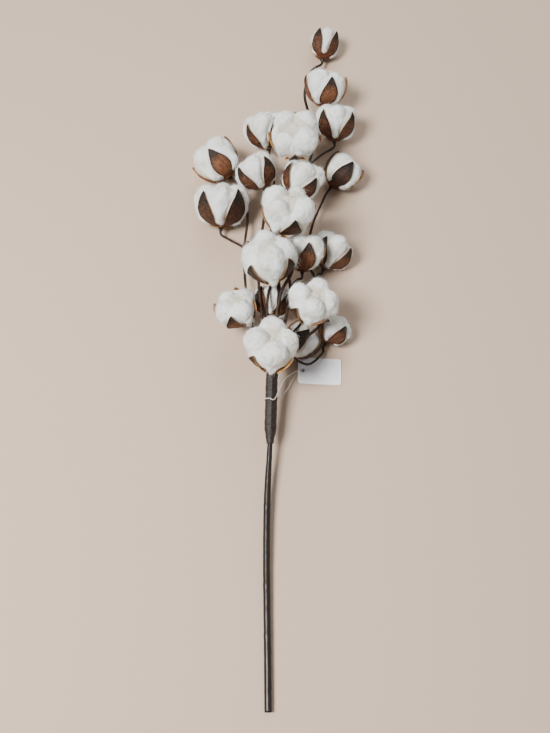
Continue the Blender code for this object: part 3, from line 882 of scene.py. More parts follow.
@dataclass(frozen=True)
class Fibres:
    """The loose fibres that stand off a boll's cotton, most of them in wisps. Lengths in mm."""
    density: float = 3.2        # fibres, against the square of the boll's radius
    in_a_wisp: int = 14
    alone: float = 0.35         # the share that stand outside the wisps
    bare: float = 0.6           # a point must show at least so much to carry a fibre
    jitter: float = 0.25        # how far a root may be from its point
    sunk: float = 0.3           # how deep a root lies under the cotton
    together: float = 1.6       # how far a wisp's fibres share a direction
    bent_back: float = 0.72     # the share whose end goes back into the cotton
    stray: int = 2              # how many points a wisp's fibres stand from its head
    length: tuple[float, float] = (1.0, 8.0)
    low_rise: tuple[float, float] = (0.3, 1.3)      # of a bend, where the end goes back
    free_rise: tuple[float, float] = (0.15, 0.6)    # where it stands free, against the length
    waves: tuple[float, float] = (4.0, 9.0)
    curl: float = 0.4
    thickness: tuple[float, float] = (0.035, 0.075)
    taper: tuple[float, ...] = (1.0, 0.9, 0.75, 0.5)
    sides: int = 3

    def roots(self, rings: Array, shows: Array, count: int,
              rng: np.random.Generator) -> tuple[Array, Array, Array]:
        """Where the fibres stand.

        Args:
            rings: the outside of the cotton.
            shows: how far each of its points shows.
            count: how many fibres.
            rng: where their places come from.

        Returns:
            The roots, the cotton's normals there, and a direction shared by each wisp.
        """
        round_it = np.roll(rings, -1, axis=1) - np.roll(rings, 1, axis=1)
        spans = np.cross(round_it, np.gradient(rings, axis=0))
        area = np.linalg.norm(spans, axis=-1) * (shows > self.bare)
        chance = area.ravel() / area.sum()
        wisps = count // self.in_a_wisp
        heads = rng.choice(area.size, wisps, p=chance)
        member = rng.integers(0, wisps, count)
        alone = rng.random(count) < self.alone
        row, column = np.divmod(heads[member], area.shape[1])
        row = (row + rng.integers(-self.stray, self.stray + 1, count)).clip(0, area.shape[0] - 1)
        column = (column + rng.integers(-self.stray, self.stray + 1, count)) % area.shape[1]
        single = rng.choice(area.size, count, p=chance)
        pick = np.where(alone, single, row * area.shape[1] + column)
        root = rings.reshape(-1, 3)[pick] + rng.normal(size=(count, 3)) * self.jitter
        drift = rng.normal(size=(wisps, 3))[member] * (self.together * ~alone)[:, None]
        return root, unit(spans.reshape(-1, 3)[pick]), drift

    def add(self, skin: Skin, rings: Array, shows: Array, radius: float,
            rng: np.random.Generator) -> None:
        """Adds the fibres, each a closed thin thread along a(1-t)^2 + 2b t(1-t) + c t^2.

        The thread goes from a root just under the cotton, over a bend, to an end that
        stands free or goes back into the cotton, with a sine's curl to one side.

        Args:
            skin: the piece that they join.
            rings: the outside of the cotton.
            shows: how far each of its points shows.
            radius: the boll's.
            rng: where the fibres' places and curls come from.
        """
        count = int(self.density * radius ** 2)
        column, each = (count, 1), (count, 1, 1)
        root, normal, drift = self.roots(rings, shows, count, rng)
        lean = unit(np.cross(normal, drift + rng.normal(size=(count, 3))))
        aside = np.cross(normal, lean)
        length = rng.gamma(4.0, 0.9, count)[:, None].clip(*self.length)
        back = (rng.random(count) < self.bent_back)[:, None]
        low = rng.uniform(*self.low_rise, column)
        rise = np.where(back, low, length * rng.uniform(*self.free_rise, column))
        bend = root + normal * rise + lean * length * 0.5
        free = root + normal * rise * 1.1 + lean * length + aside * rng.normal(size=column)
        end = np.where(back, root + lean * length - normal * self.sunk, free)
        start = root - normal * self.sunk
        t = np.linspace(0.0, 1.0, len(self.taper) + 2)[None, :, None]
        path = start[:, None] * (1 - t) ** 2 + 2 * bend[:, None] * t * (1 - t) + end[:, None] * t ** 2
        curl = np.sin(t * rng.uniform(*self.waves, each)) * rng.normal(size=each) * self.curl
        path = path + aside[:, None] * curl
        side = unit(np.cross(end - start, normal))
        up = unit(np.cross(side, end - start))
        ring = around_axes(side[:, None], up[:, None], circle(self.sides))
        thick = rng.uniform(*self.thickness, (*each, 1)) * np.array(self.taper)[:, None, None]
        middle = path[:, 1:-1, None] + ring[:, None] * thick
        points = np.concatenate([middle.reshape(count, -1, 3), path[:, :1], path[:, -1:]], axis=1)
        _, quads, caps = loft(middle[0], path[0, 0], path[0, -1])
        faces = np.vstack([quads[:, [0, 1, 2]], quads[:, [0, 2, 3]], caps])
        tris = faces + points.shape[1] * np.arange(count)[:, None, None]
        skin.add(on_floor(points.reshape(-1, 3), 0.3), np.zeros((0, 4), int), tris, fold=0.0)


@dataclass
class Husk:
    """A boll's husk: the valves, and the calyx under them. Lengths in mm."""
    boll: Boll
    shell: float = 1.0          # thickness of a valve at its middle
    rows: int = 46
    columns: int = 17           # points across the outside of a valve
    soft: float = 0.15          # how softly the husk is pressed on the floor
    lift: tuple[float, float] = (0.3, 2.1)      # of an edge off the cotton, by its gap
    flare: tuple[float, float] = (0.5, 1.5)     # how far the tip stands off it
    lean: float = 0.06          # how far the tip strays to a side, radians
    wave: float = 0.05          # how far the edges waver, against half the valve
    rib: tuple[float, float] = (0.30, 0.08)     # height, and width against half the valve
    valve_lumps: tuple = ((0.26, 3.2), (0.14, 1.2))
    calyx_rows: int = 9
    calyx_columns: int = 72
    calyx_rim: tuple[float, float] = (17.0, 6.0)    # degrees from the pole, and its scallops
    calyx_lumps: tuple = ((4.0, 2.0), (2.5, 0.8))
    calyx_thickness: tuple[float, float] = (0.75, 0.40)     # at the twig and at the rim
    calyx_flare: tuple[float, float] = (0.3, 1.2)

    def section(self) -> tuple[Array, Array, Array]:
        """A valve's section, across the outside and back across the inside.

        Returns:
            For each of its points, how far aside it is, -1 to 1 by a sine's steps; how
            far out, 0 or 1; and how much of the tan lining shows there.
        """
        outer = np.sin(np.linspace(-1.0, 1.0, self.columns) * math.pi / 2)
        side = np.concatenate([outer, [1.0], -outer[1:-1] * 0.985, [-1.0]])
        full, none = np.ones(self.columns), np.zeros(self.columns - 2)
        depth = np.concatenate([full, [0.45], none, [0.45]])
        inside = np.concatenate([[0.8], none, [0.8], full])
        return side, depth, inside

    def add_valve(self, skin: Skin, number: int, tone: float, rng: np.random.Generator) -> None:
        """Adds one valve, a thin pointed boat that narrows at both ends.

        The outside is the inside + a thickness that thins to the edges, a low rib along
        the middle and noise; the edges lift off the cotton, and the tip bends outwards.

        Args:
            skin: the piece that the valve joins.
            number: which valve, from 0.
            tone: how pale the husk is, -1 to 1.
            rng: where the differences between valves come from.
        """
        boll = self.boll
        side, depth, inside = self.section()
        rising = np.sin(np.linspace(0.02, 1.0, self.rows) * math.pi / 2)
        part, side = np.meshgrid(rising, side, indexing="ij")
        reach = boll.tip * rng.uniform(0.92, 1.0)
        lean = rng.uniform(-self.lean, self.lean)
        wave = self.wave * np.sin(part * 7.0 + rng.uniform(0.0, TURN)) * ease(part, 0.35, 0.7)
        angle = (number * Boll.PITCH + (side + wave) * boll.half_valve(part)
                 + lean * ease(part, 0.45, 1.0))
        from_base = part * reach + math.radians(5.0) * ease(part, 0.85, 1.0)
        gaps = boll.gaps()
        gap = np.where(side > 0, gaps[2 * number], gaps[2 * number - 1])
        lift = self.lift[0] + self.lift[1] * gap
        radius = boll.husk_radius(part) + lift * np.abs(side) ** 3.5 * ease(part, 0.22, 0.5)
        radius = radius + rng.uniform(*self.flare) * ease(part, 0.8, 1.0)
        where = boll.place(from_base, angle, radius)
        height, width = self.rib
        rib = height * np.exp(-(side / width) ** 2) * ease(part, 0.15, 0.4) * (1.0 - part)
        thick = self.shell * (1.15 - 0.35 * side ** 4) * (1.0 - 0.4 * part) + rib
        thick = thick + random_lumps(rng).layered(where, self.valve_lumps)
        rings = boll.place(from_base, angle, radius + depth * thick.clip(0.3))
        skin.add_loft(on_floor(rings, self.soft), along=(part, 0.0, 1.0), across=(side, 0.0, 0.0),
                      inside=(inside, 0.0, 0.0), tone=(tone, tone, tone))

    def add_calyx(self, skin: Skin, tone: float, rng: np.random.Generator) -> None:
        """Adds the calyx, a thin ragged saucer under the husk.

        Its rim is at an angle from the base pole + the scallops' x cos of the valves'
        number x the angle round + noise, and its rows run out to the rim and back.

        Args:
            skin: the piece that the calyx joins.
            tone: how pale the husk is, -1 to 1.
            rng: where its raggedness comes from.
        """
        boll, around = self.boll, circle(self.calyx_columns)
        lumps = random_lumps(rng)
        track = np.stack([np.cos(around), np.sin(around), np.zeros(len(around))], -1) * 8.0
        rim = self.calyx_rim[1] * np.cos(Boll.VALVES * around + rng.uniform(0, TURN))
        rim = np.radians(self.calyx_rim[0] + rim + lumps.layered(track, self.calyx_lumps))
        out = np.linspace(0.08, 1.0, self.calyx_rows)[:, None]
        part = np.concatenate([out, out[::-1] * 0.985])
        under = np.repeat([0.0, 0.5], self.calyx_rows)[:, None]
        above = boll.husk_radius(part * rim / boll.tip) + self.shell + 0.15
        above = above + rng.uniform(*self.calyx_flare) * part ** 4
        thick = self.calyx_thickness[0] * (1.0 - part) + self.calyx_thickness[1] * part
        radius = above + np.where(under > 0.0, 0.0, thick)
        rings = on_floor(boll.place(part * rim, around, radius), self.soft)
        skin.add_loft(rings, along=(0.10, 0.10, 0.10), tone=(tone, tone, tone),
                      across=(part ** 2 * 0.8, 0.0, 0.0),
                      inside=(under + (part > 0.9) * 0.3, 0.0, 0.5))

    def build(self, number: str, material: bpy.types.Material) -> None:
        """Builds the valves and the calyx as one piece.

        Args:
            number: the boll's number, as in its nodes' names.
            material: the husk's finish.
        """
        rng = np.random.default_rng(300 + int(number))
        tone = self.boll.tone + float(rng.uniform(-0.25, 0.25))
        skin = Skin()
        for valve in range(Boll.VALVES):
            self.add_valve(skin, valve, tone, rng)
        self.add_calyx(skin, tone, rng)
        skin.piece("valves_" + number, material, "husk", "husk_" + number)


BOLLS = {
    "01": Boll((61, 377, 17), 79, 15, 17.5, Opening.HALF, 48, stretch=1.2),
    "02": Boll((58, 291, 36), 83, 44, 25, Opening.OPEN, 12, tone=0.5),
    "03": Boll((70, 243, 30), 84, 34, 23.5, Opening.OPEN, 45, tone=0.2),
    "04": Boll((20, 188, 72), -90, 84, 28, Opening.WIDE, 0),
    "05": Boll((-13, 230, 32), 102, 39, 24, Opening.OPEN, 30),
    "06": Boll((-70, 191, 24.8), 134, 23, 27.5, Opening.OPEN, 0, tone=0.9),
    "07": Boll((-23, 165, 40), 120, 36, 23.5, Opening.OPEN, 35),
    "08": Boll((28, 145, 52), 52, 40, 22.5, Opening.OPEN, 40),
    "09": Boll((76, 178, 20.4), 48, 26, 22.5, Opening.HALF, 10, tone=-0.6),
    "10": Boll((-62, 129, 28.2), 88, 34, 29.5, Opening.OPEN, 45, tone=-0.4),
    "11": Boll((11, 80, 86), 73, 63, 28, Opening.WIDE, 20),
    "12": Boll((-8, 28, 76), 113, 73, 28, Opening.OPEN, 45, tone=-0.4),
    "13": Boll((29, 55, 46), 84, 34, 22.5, Opening.OPEN, 8, tone=0.5),
    "14": Boll((61, 72, 19.9), 61, 30, 22, Opening.OPEN, 55),
    "15": Boll((-42, -12, 43), 132, 71, 22, Opening.OPEN, -20),
    "16": Boll((-5, 4, 28), 80, 12, 19.5, Opening.OPEN, 45),
    "17": Boll((36, -18, 66), 38, 64, 24, Opening.WIDE, -30),
    "18": Boll((25, -38, 19.5), 40, 24, 20.5, Opening.HALF, -10, tone=-0.5),
    "19": Boll((-5, -68, 70), 67, 73, 26.5, Opening.WIDE, -35),
    "20": Boll((61, -22, 17.2), 55, 30, 18, Opening.OPEN, 30),
}


# ------------------------------------------------------------------ stems
@dataclass
class Wrap:
    """The tape that binds the branches to the main stem. Lengths in mm."""
    bottom: Triple = (-7.0, -150.0, 18.0)
    top: Triple = (-5.0, -80.0, 30.0)
    radius: float = 6.2
    neck: float = 3.5
    taper: float = 16.0
    tape: float = 8.5           # how far the tape climbs in one turn
    lap: float = 0.38           # the step where a turn laps the one below
    under: float = 0.35         # how far the sleeve lies inside the radius, for the laps
    wander: float = 0.105       # how far a turn strays, against a whole turn
    branch_swell: float = 0.16  # how far each branch shows through the tape
    branches: int = 7
    rows: int = 190
    sides: int = 96

    CLOSING = np.array([[0.94, 0.80, 0.62], [0.25, 0.55, 0.75]])    # radii, and how far on

    def axes(self) -> tuple[Array, Array, Array, float]:
        """The way the wrap goes, the sides to its right and above it, and its length."""
        run = np.array(self.top) - np.array(self.bottom)
        along = unit(run)
        right = unit(np.cross(along, np.array([0.0, 0.0, 1.0])))
        return along, right, np.cross(right, along), float(np.linalg.norm(run))

    def tape_radius(self, travel: Array, angle: Array) -> tuple[Array, Array]:
        """The radius over the tape.

        Args:
            travel: how far up the wrap, in mm.
            angle: the angle round it.

        Returns:
            The sleeve + lap x ridge + crinkles + a low swelling over each branch; and
            the ridge, 0 to 1, which grows as the part of a turn since the last lap ^0.7.
        """
        sleeve = self.neck + (self.radius - self.under - self.neck) * ease(travel, 0.0, self.taper)
        turn = (travel / self.tape - angle / TURN + self.wander * np.sin(travel / 9.0)) % 1.0
        ridge = turn ** 0.7 * (1.0 - ease(turn, 0.94, 1.0))
        lumps = Lumps(11)
        spot = np.stack([np.cos(angle) * 6, np.sin(angle) * 6, travel], -1)
        crinkle = 0.13 * lumps.at(spot * (0.5, 0.5, 1.0), 0.9) + 0.18 * lumps.at(spot, 5.0)
        free = ease(travel, self.taper * 0.6, self.taper + 8)
        swell = self.branch_swell * np.cos(self.branches * angle + 1.2) * free
        return sleeve + self.lap * ridge + crinkle + swell, ridge

    def build(self, material: bpy.types.Material) -> None:
        """Builds the tape: a sleeve whose radius steps down once a turn along a helix.

        Args:
            material: the tape's finish.
        """
        along, right, above, length = self.axes()
        travel, angle = np.meshgrid(np.linspace(0.0, length, self.rows), circle(self.sides),
                                    indexing="ij")
        radius, ridge = self.tape_radius(travel, angle)
        inward, on = self.CLOSING[..., None]
        radius = np.vstack([radius[:1] * inward[::-1] * 1.05, radius, radius[-1:] * inward])
        travel = np.vstack([-on[::-1], travel[:, :1], length + on * 1.6])
        ridge = np.pad(ridge, ((len(on), len(on)), (0, 0)), mode="edge")
        middle = np.array(self.bottom) + along * travel[..., None]
        rings = middle + around_axes(-right, above, circle(self.sides)) * radius[..., None]
        skin = Skin()
        skin.add_loft(rings, middle[[0, -1], 0], ridge=(ridge, 0.0, 0.0))
        skin.piece("tape_wrap", material, "stem_wrap", "stem_wrap")


@dataclass
class Twig:
    """A short side shoot: the boll it carries, where it leaves, and its bends."""
    boll: str
    leaves: int                 # which point of the route it leaves
    via: list


def rounded(ring: Array, before: Array) -> Array:
    """A ring to follow another at a tube's end: 0.8 of its size, 0.25 mm further on.

    Args:
        ring: the tube's last ring.
        before: the ring before that.

    Returns:
        The new ring, as one row.
    """
    middle = ring.mean(0)
    onward = unit(middle - before.mean(0)) * 0.25
    return (middle + (ring - middle) * 0.8 + onward)[None]


class Shoot:
    """What the main stem and the branches share: routes, twigs and knobs. Lengths in mm."""

    STEP = 1.6
    SIDES = 18
    LEAD = 8.0                  # straight run before a boll
    TWIG_RADIUS = 1.25
    TWIG_FOOT = 0.45            # how much thicker a twig is where it leaves
    TWIG_DEPTH = 0.10
    KNOB_RADIUS = 2.7
    JOINTS = 30                 # more than the longest shoot needs
    DRAWN = np.array([1.0, 0.22, 1.0])      # the ridges are drawn out along Y

    def to_boll(self, route: list, boll: str) -> list:
        """A route carried on, straight, into the base of a boll."""
        end = BOLLS[boll].base()
        return route + [end - BOLLS[boll].axis * self.LEAD, end]

    def knobbed(self, radii: Array, distance: Array) -> Array:
        """Radii that swell into a small knob over the last few millimetres."""
        left = distance[-1] - distance
        return radii + (self.KNOB_RADIUS - radii[-1]) * (1.0 - ease(left, 0.4, 5.0))

    def barked(self, route: Array, radii: Array, seed: int, depth: float) -> Array:
        """Rings with bark on them.

        Args:
            route: the route's points.
            radii: a radius for each.
            seed: which noise, and where the joints are, 24 to 52 mm apart.
            depth: how deep the bark's ridges are.

        Returns:
            The rings, at radius x (1 + the joints' swelling, a bell each) + depth x noise,
            fine and drawn out along the stem, then broad.
        """
        lumps = Lumps(seed)
        joints = 14.0 + np.cumsum(np.random.default_rng(seed).uniform(24.0, 52.0, self.JOINTS))
        bells = np.exp(-((travelled(route)[:, None] - joints) / 1.6) ** 2)
        swell = bells.sum(1) * 0.7 * depth
        wide = (radii * (1.0 + swell))[:, None] + np.zeros(self.SIDES)
        rings = tube_rings(route, wide, self.SIDES)
        ridges = lumps.at(rings * self.DRAWN, 0.9) + 1.4 * lumps.at(rings, 5.0)
        return tube_rings(route, wide + depth * ridges, self.SIDES)

    def add_tube(self, skin: Skin, route: Array, radii: Array, seed: int, depth: float) -> None:
        """Adds a barked tube with closed, slightly rounded ends and a knob at the last.

        Args:
            skin: the piece that it joins.
            route: the route's points.
            radii: a radius for each.
            seed: which noise.
            depth: how deep the bark's ridges are.
        """
        rings = self.barked(route, self.knobbed(radii, travelled(route)), seed, depth)
        ends = rounded(rings[0], rings[1]), rounded(rings[-1], rings[-2])
        skin.add_loft(np.concatenate([ends[0], rings, ends[1]]))

    def add_twigs(self, skin: Skin, route: list, twigs: list[Twig], seed: int) -> None:
        """Adds each twig, thick where it leaves the shoot and knobbed at its boll.

        Args:
            skin: the piece that they join.
            route: the places that the shoot passes through.
            twigs: the twigs.
            seed: the shoot's own, which each twig's follows.
        """
        for order, twig in enumerate(twigs):
            points = self.to_boll([route[twig.leaves]] + twig.via, twig.boll)
            path = smooth_route(points, self.STEP)
            radii = self.TWIG_RADIUS + self.TWIG_FOOT * (1.0 - ease(travelled(path), 0.0, 6.0))
            self.add_tube(skin, path, radii, seed + order + 1, self.TWIG_DEPTH)


@dataclass
class MainStem(Shoot):
    """The tall stem: bare and glossy below, bound in the wrap, slim to the tip boll."""
    wrap: Wrap
    radius: float = 3.5
    in_wrap: float = 2.4
    neck: float = 2.65
    neck_run: float = 60.0      # from the full radius to the neck
    held_run: float = 23.0      # from the neck to the radius in the wrap
    tip_radius: float = 1.5
    depth: float = 0.07
    lower: tuple = ((-8, -396, 3.5), (-9, -330, 4.4), (-10, -265, 6.2), (-9.6, -205, 10.2))
    upper: tuple = ((-4, -46, 36), (2, -8, 49), (1, 18, 50), (-4, 50, 44), (-6, 84, 39),
                    (4, 118, 30), (20, 150, 22), (36, 185, 23), (44, 225, 25),
                    (38, 262, 23), (34, 296, 20), (43, 335, 15))
    twigs: tuple = (Twig("03", 7, [(54, 208, 15)]), Twig("02", 8, [(49, 258, 15)]))

    def build(self, material: bpy.types.Material) -> None:
        """Builds the stem and its twigs; its radius follows its place along Y.

        Args:
            material: the stem's finish.
        """
        bottom, top = np.array(self.wrap.bottom), np.array(self.wrap.top)
        points = list(self.lower) + [bottom, (bottom + top) / 2, top] + list(self.upper)
        path = smooth_route(self.to_boll(points, "01"), self.STEP)
        low, high = bottom[1], top[1]
        places = (low - self.neck_run, low, low + self.held_run, high, path[-1, 1])
        sizes = (self.radius, self.neck, self.in_wrap, self.in_wrap, self.tip_radius)
        skin = Skin()
        self.add_tube(skin, path, np.interp(path[:, 1], places, sizes), 41, self.depth)
        self.add_twigs(skin, list(self.upper), list(self.twigs), 43)
        skin.piece("stem", material, "main_stem", "main_stem")


@dataclass
class Branch(Shoot):
    """A branch: its place in the bound ring, its free route, and what it carries."""
    number: int
    wrap: Wrap
    ring_angle: float           # degrees round the stem, 0 to the right, 90 up
    route: list
    tip: str
    twigs: list[Twig]

    RING = 4.05                 # from the stem's middle to the branch's
    BOUND = (0.34, 0.67, 1.0, 1.1)      # its places along the wrap
    IN_WRAP = 1.2
    RADIUS = 1.7
    SWELL_RUN = 16.0
    TIP_RADIUS = 1.3
    DEPTH = 0.12

    def build(self, material: bpy.types.Material) -> None:
        """Builds the branch and its twigs: thin while bound, then thicker, then tapering.

        Args:
            material: the bark's finish.
        """
        along, right, above, length = self.wrap.axes()
        angle = math.radians(self.ring_angle)
        aside = (right * math.cos(angle) + above * math.sin(angle)) * self.RING
        bound = [np.array(self.wrap.bottom) + along * length * part + aside for part in self.BOUND]
        path = smooth_route(self.to_boll(bound + self.route, self.tip), self.STEP)
        held = float(np.linalg.norm(bound[-2] - bound[0]))
        beyond = np.clip(travelled(path) - held, 0.0, None)
        full = self.RADIUS - (self.RADIUS - self.TIP_RADIUS) * beyond / beyond[-1]
        radii = self.IN_WRAP + (full - self.IN_WRAP) * np.minimum(1.0, beyond / self.SWELL_RUN)
        seed = 60 + 5 * self.number
        skin = Skin()
        self.add_tube(skin, path, radii, seed, self.DEPTH)
        self.add_twigs(skin, self.route, self.twigs, seed)
        skin.piece(f"bark_{self.number}", material, "branch", f"branch_{self.number}")


def branches(wrap: Wrap) -> list[Branch]:
    """The seven branches, in the order of their numbers."""
    return [
        Branch(1, wrap, 244, [(-16, -56, 25), (-27, -20, 20), (-34, 30, 16), (-36, 80, 14),
                              (-33, 120, 13), (-38, 152, 12)], "06",
               [Twig("15", 1, [(-33, -19, 20)]), Twig("10", 3, [(-54, 94, 9)])]),
        Branch(2, wrap, 193, [(-12, -52, 36), (-15, -24, 41), (-19, 14, 47), (-20, 50, 40),
                              (-16, 90, 34), (-10, 130, 24), (-3, 165, 16), (-6, 195, 13)], "05",
               [Twig("16", 0, [(-11, -34, 26)]), Twig("07", 4, [(-13, 132, 21)])]),
        Branch(3, wrap, 90, [(-3, -40, 43), (4, -2, 57), (16, 28, 56), (2, 56, 54),
                             (0, 84, 52), (8, 120, 46), (6, 152, 42), (14, 180, 34)], "04",
               [Twig("11", 3, [(4, 62, 59)])]),
        Branch(4, wrap, 347, [(12, -62, 35), (30, -46, 44), (46, -28, 41), (54, 0, 36),
                              (42, 36, 22), (33, 66, 12), (40, 110, 11), (54, 148, 10)], "09",
               [Twig("20", 0, [(32, -66, 22), (48, -48, 10)]), Twig("14", 4, [(46, 48, 11)])]),
        Branch(5, wrap, 39, [(4, -50, 43), (10, -20, 47), (14, 12, 44), (8, 44, 38),
                             (4, 70, 35), (11, 105, 36)], "08",
               [Twig("13", 2, [(22, 28, 33)])]),
        Branch(6, wrap, 141, [(-9, -70, 37), (-10, -30, 46), (-9, 0, 52)], "12",
               [Twig("19", 0, [(-8, -73, 42)])]),
        Branch(7, wrap, 296, [(3, -60, 29), (13, -45, 42)], "17",
               [Twig("18", 0, [(5, -55, 20)])]),
    ]


# ------------------------------------------------------------------ tag
@dataclass
class SwingTag:
    """A blank white card with rounded corners and a hole, and the loop that holds it.

    Lengths in mm, angles in degrees.
    """
    wrap: Wrap
    length: float = 46.0
    width: float = 30.0
    thickness: float = 0.5
    corner: float = 3.0
    hole_radius: float = 2.0
    hole_inset: float = 5.0
    centre: Triple = (45.0, -65.0, 1.9)
    tilt: float = 4.0           # the end with the hole is up
    turn: float = -1.5
    bow: float = 0.8            # how far the card's ends curl up
    rows: int = 26              # from the hole's rim to the card's edge
    sides: int = 144
    thread_radius: float = 0.45
    loop_place: float = 0.62    # how far up the wrap the loop goes round it
    loop_reach: float = 7.6     # from the wrap's middle to the thread's
    loop_sides: int = 12

    @property
    def hole(self) -> Array:
        """The middle of the hole, in the card's own frame."""
        return np.array([self.hole_inset - self.length / 2, 0.0, 0.0])

    def placed(self, points: Array) -> Array:
        """Points of the card's own frame, tilted about Y, turned about Z and moved."""
        tilt, turn = math.radians(self.tilt), math.radians(self.turn)
        x, y, z = points[..., 0], points[..., 1], points[..., 2]
        x, z = x * math.cos(tilt) + z * math.sin(tilt), z * math.cos(tilt) - x * math.sin(tilt)
        x, y = x * math.cos(turn) - y * math.sin(turn), x * math.sin(turn) + y * math.cos(turn)
        return np.stack([x, y, z], -1) + np.array(self.centre)

    def outline(self) -> Array:
        """The card's edge: four quarter circles joined by straight runs, evenly stepped."""
        inner = np.array([self.length, self.width]) / 2 - self.corner
        quarter = np.linspace(0.0, TURN / 4, 8)
        corners = []
        for number, signs in enumerate(((1, 1), (-1, 1), (-1, -1), (1, -1))):
            angle = quarter + number * TURN / 4
            bend = self.corner * np.stack([np.cos(angle), np.sin(angle)], -1)
            corners.append(inner * signs + bend)
        edge = np.vstack(corners + [corners[0][:1]])
        distance = travelled(edge)
        steps = np.linspace(0.0, distance[-1], self.sides, endpoint=False)
        return np.stack([np.interp(steps, distance, edge[:, k]) for k in (0, 1)], -1)

    def build_card(self, material: bpy.types.Material) -> None:
        """Builds the card: rows from the hole out over the top, and back underneath.

        Row by row the points go straight from the hole's rim to the card's edge, and
        the height is half the thickness + the bow x ((2 x / length)^2 - 0.4).

        Args:
            material: the card's finish.
        """
        edge, hole = self.outline(), self.hole[:2]
        angle = np.arctan2(edge[:, 1] - hole[1], edge[:, 0] - hole[0])
        rim = hole + self.hole_radius * np.stack([np.cos(angle), np.sin(angle)], -1)
        part = np.concatenate([[0.0, 0.012], np.linspace(0.03, 0.985, self.rows - 4), [0.996, 1.0]])
        flat = rim[None] + (edge - rim)[None] * part[:, None, None]
        half, shown = np.full((self.rows, 1), self.thickness / 2), np.zeros(self.rows)
        half[[0, -1]] *= 0.45
        shown[[0, -1]] = 1.0
        height = self.bow * ((2.0 * flat[..., 0] / self.length) ** 2 - 0.4)
        top = np.concatenate([flat, (height + half)[..., None]], -1)
        under = np.concatenate([flat, (height - half)[..., None]], -1)[::-1]
        rings = self.placed(np.concatenate([top, under]))
        rings[..., 2] = np.maximum(rings[..., 2], 0.05)
        skin = Skin()
        skin.add(*torus(rings), rim=np.repeat(np.concatenate([shown, shown[::-1]]), self.sides))
        skin.piece("card", material, "tag_card", "swing_tag")

    def build_loop(self, material: bpy.types.Material) -> None:
        """Builds the loop: a thread round the wrap and through the hole of the card.

        Args:
            material: the thread's finish.
        """
        along, right, above, length = self.wrap.axes()
        middle = np.array(self.wrap.bottom) + along * length * self.loop_place
        angles = np.radians(60.0 + 40.0 * np.arange(6))
        points = list(middle + self.loop_reach * around_axes(right, above, angles))
        hole = self.placed(self.hole)
        points += [(6.0, -95.0, 9.0), (hole[0] - 6.5, hole[1] - 4.0, 1.1), hole + (-1.2, 0.0, -1.35),
                   hole, hole + (-2.0, -0.5, 4.0), (8.0, -84.0, 25.0)]
        path = smooth_route(points, 1.0, closed=True)
        log.info("loop: %.0f mm round", travelled(np.vstack([path, path[:1]]))[-1])
        radii = np.full((len(path), 1), self.thread_radius)
        skin = Skin()
        skin.add(*torus(tube_rings(path, radii, self.loop_sides, closed=True)))
        skin.piece("thread_loop", material, "nylon_loop", "tag_loop")


# ------------------------------------------------------------------ studio
@dataclass
class Light:
    """A soft square light: its place and side in metres, its power in watts, a linear colour."""
    name: str
    place: Triple
    size: float
    power: float
    colour: Triple


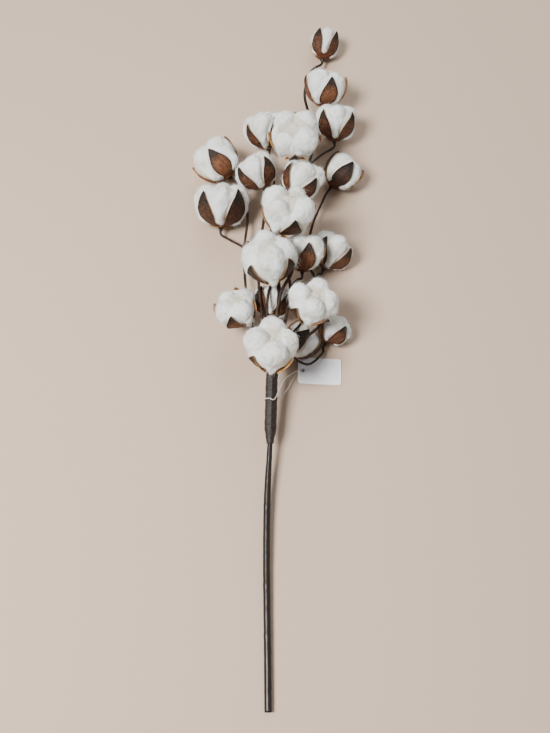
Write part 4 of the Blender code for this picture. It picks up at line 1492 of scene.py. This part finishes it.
@dataclass
class Studio:
    """The floor, the lights and the camera. Lengths in metres, but the lens in mm."""
    aim: Triple = (-0.002, -0.072, 0.030)
    elevation: float = 66.0
    distance: float = 0.83
    lens: float = 40.0
    floor: Triple = (199, 175, 155)
    floor_half: float = 15.0
    floor_drop: float = 0.0003
    light_aim: Triple = (0.0, 0.05, 0.03)
    surround: tuple = (0.92, 0.90, 0.88, 1.0)
    surround_strength: float = 0.24
    lights: tuple = (Light("key", (-0.9, -0.5, 1.7), 0.65, 76.0, (1.0, 0.98, 0.95)),
                     Light("fill", (1.3, 0.1, 1.3), 1.6, 6.0, (0.95, 0.97, 1.0)),
                     Light("back", (0.2, 1.5, 1.2), 1.2, 14.0, (1.0, 1.0, 1.0)))

    def build_floor(self) -> None:
        """A plain pale floor just under the bunch, as a flat quad."""
        half, low = self.floor_half, -self.floor_drop
        corners = [(-half, -half, low), (half, -half, low), (half, half, low), (-half, half, low)]
        mesh = bpy.data.meshes.new("floor")
        mesh.from_pydata(corners, [], [(0, 1, 2, 3)])
        mesh.materials.append(Sheet("floor").dress(Base_Color=linear(self.floor), Roughness=0.8))
        floor = bpy.data.objects.new("floor", mesh)
        bpy.context.scene.collection.objects.link(floor)

    def look(self, thing: bpy.types.Object, place: Array, aim: Array) -> None:
        """Puts a light or a camera in the scene, its -Z towards the aim and its Y upwards.

        Args:
            thing: the light's or the camera's object.
            place: where it goes.
            aim: what it looks at.
        """
        back = unit(place - aim)
        right = unit(np.cross(np.array([0.0, 1.0, 1e-3]), back))
        turn = np.eye(4)
        turn[:3] = np.stack([right, np.cross(back, right), back, place], -1)
        thing.matrix_world = Matrix(turn.tolist())
        bpy.context.scene.collection.objects.link(thing)

    def build(self) -> None:
        """Sets the floor, three soft lights, a pale surround and the camera."""
        self.build_floor()
        for light in self.lights:
            data = bpy.data.lights.new(light.name, "AREA")
            data.shape, data.size = "SQUARE", light.size
            data.energy, data.color = light.power, light.colour
            lamp = bpy.data.objects.new(light.name, data)
            self.look(lamp, np.array(light.place), np.array(self.light_aim))
        world = bpy.data.worlds.new("surround")
        world.use_nodes = True
        background = world.node_tree.nodes["Background"]
        background.inputs["Color"].default_value = self.surround
        background.inputs["Strength"].default_value = self.surround_strength
        bpy.context.scene.world = world
        data = bpy.data.cameras.new("camera")
        data.lens = self.lens
        camera = bpy.data.objects.new("camera", data)
        up, aim = math.radians(self.elevation), np.array(self.aim)
        self.look(camera, aim + self.distance * np.array([0.0, -math.cos(up), math.sin(up)]), aim)
        bpy.context.scene.camera = camera


def main() -> None:
    """Builds the pieces in order, dresses them and sets the studio."""
    logging.basicConfig(level=logging.INFO, format="%(name)s %(message)s")
    wrap = Wrap()
    MainStem(wrap=wrap).build(StemFinish().material())
    bark = BarkFinish().material()
    for branch in branches(wrap):
        branch.build(bark)
    wrap.build(TapeFinish().material())
    husk, cotton = HuskFinish().material(), CottonFinish().material()
    for number, boll in BOLLS.items():
        boll.build(number, husk, cotton)
    tag = SwingTag(wrap)
    tag.build_card(CardFinish().material())
    tag.build_loop(NylonFinish().material())
    Studio().build()


if __name__ == "__main__":
    main()
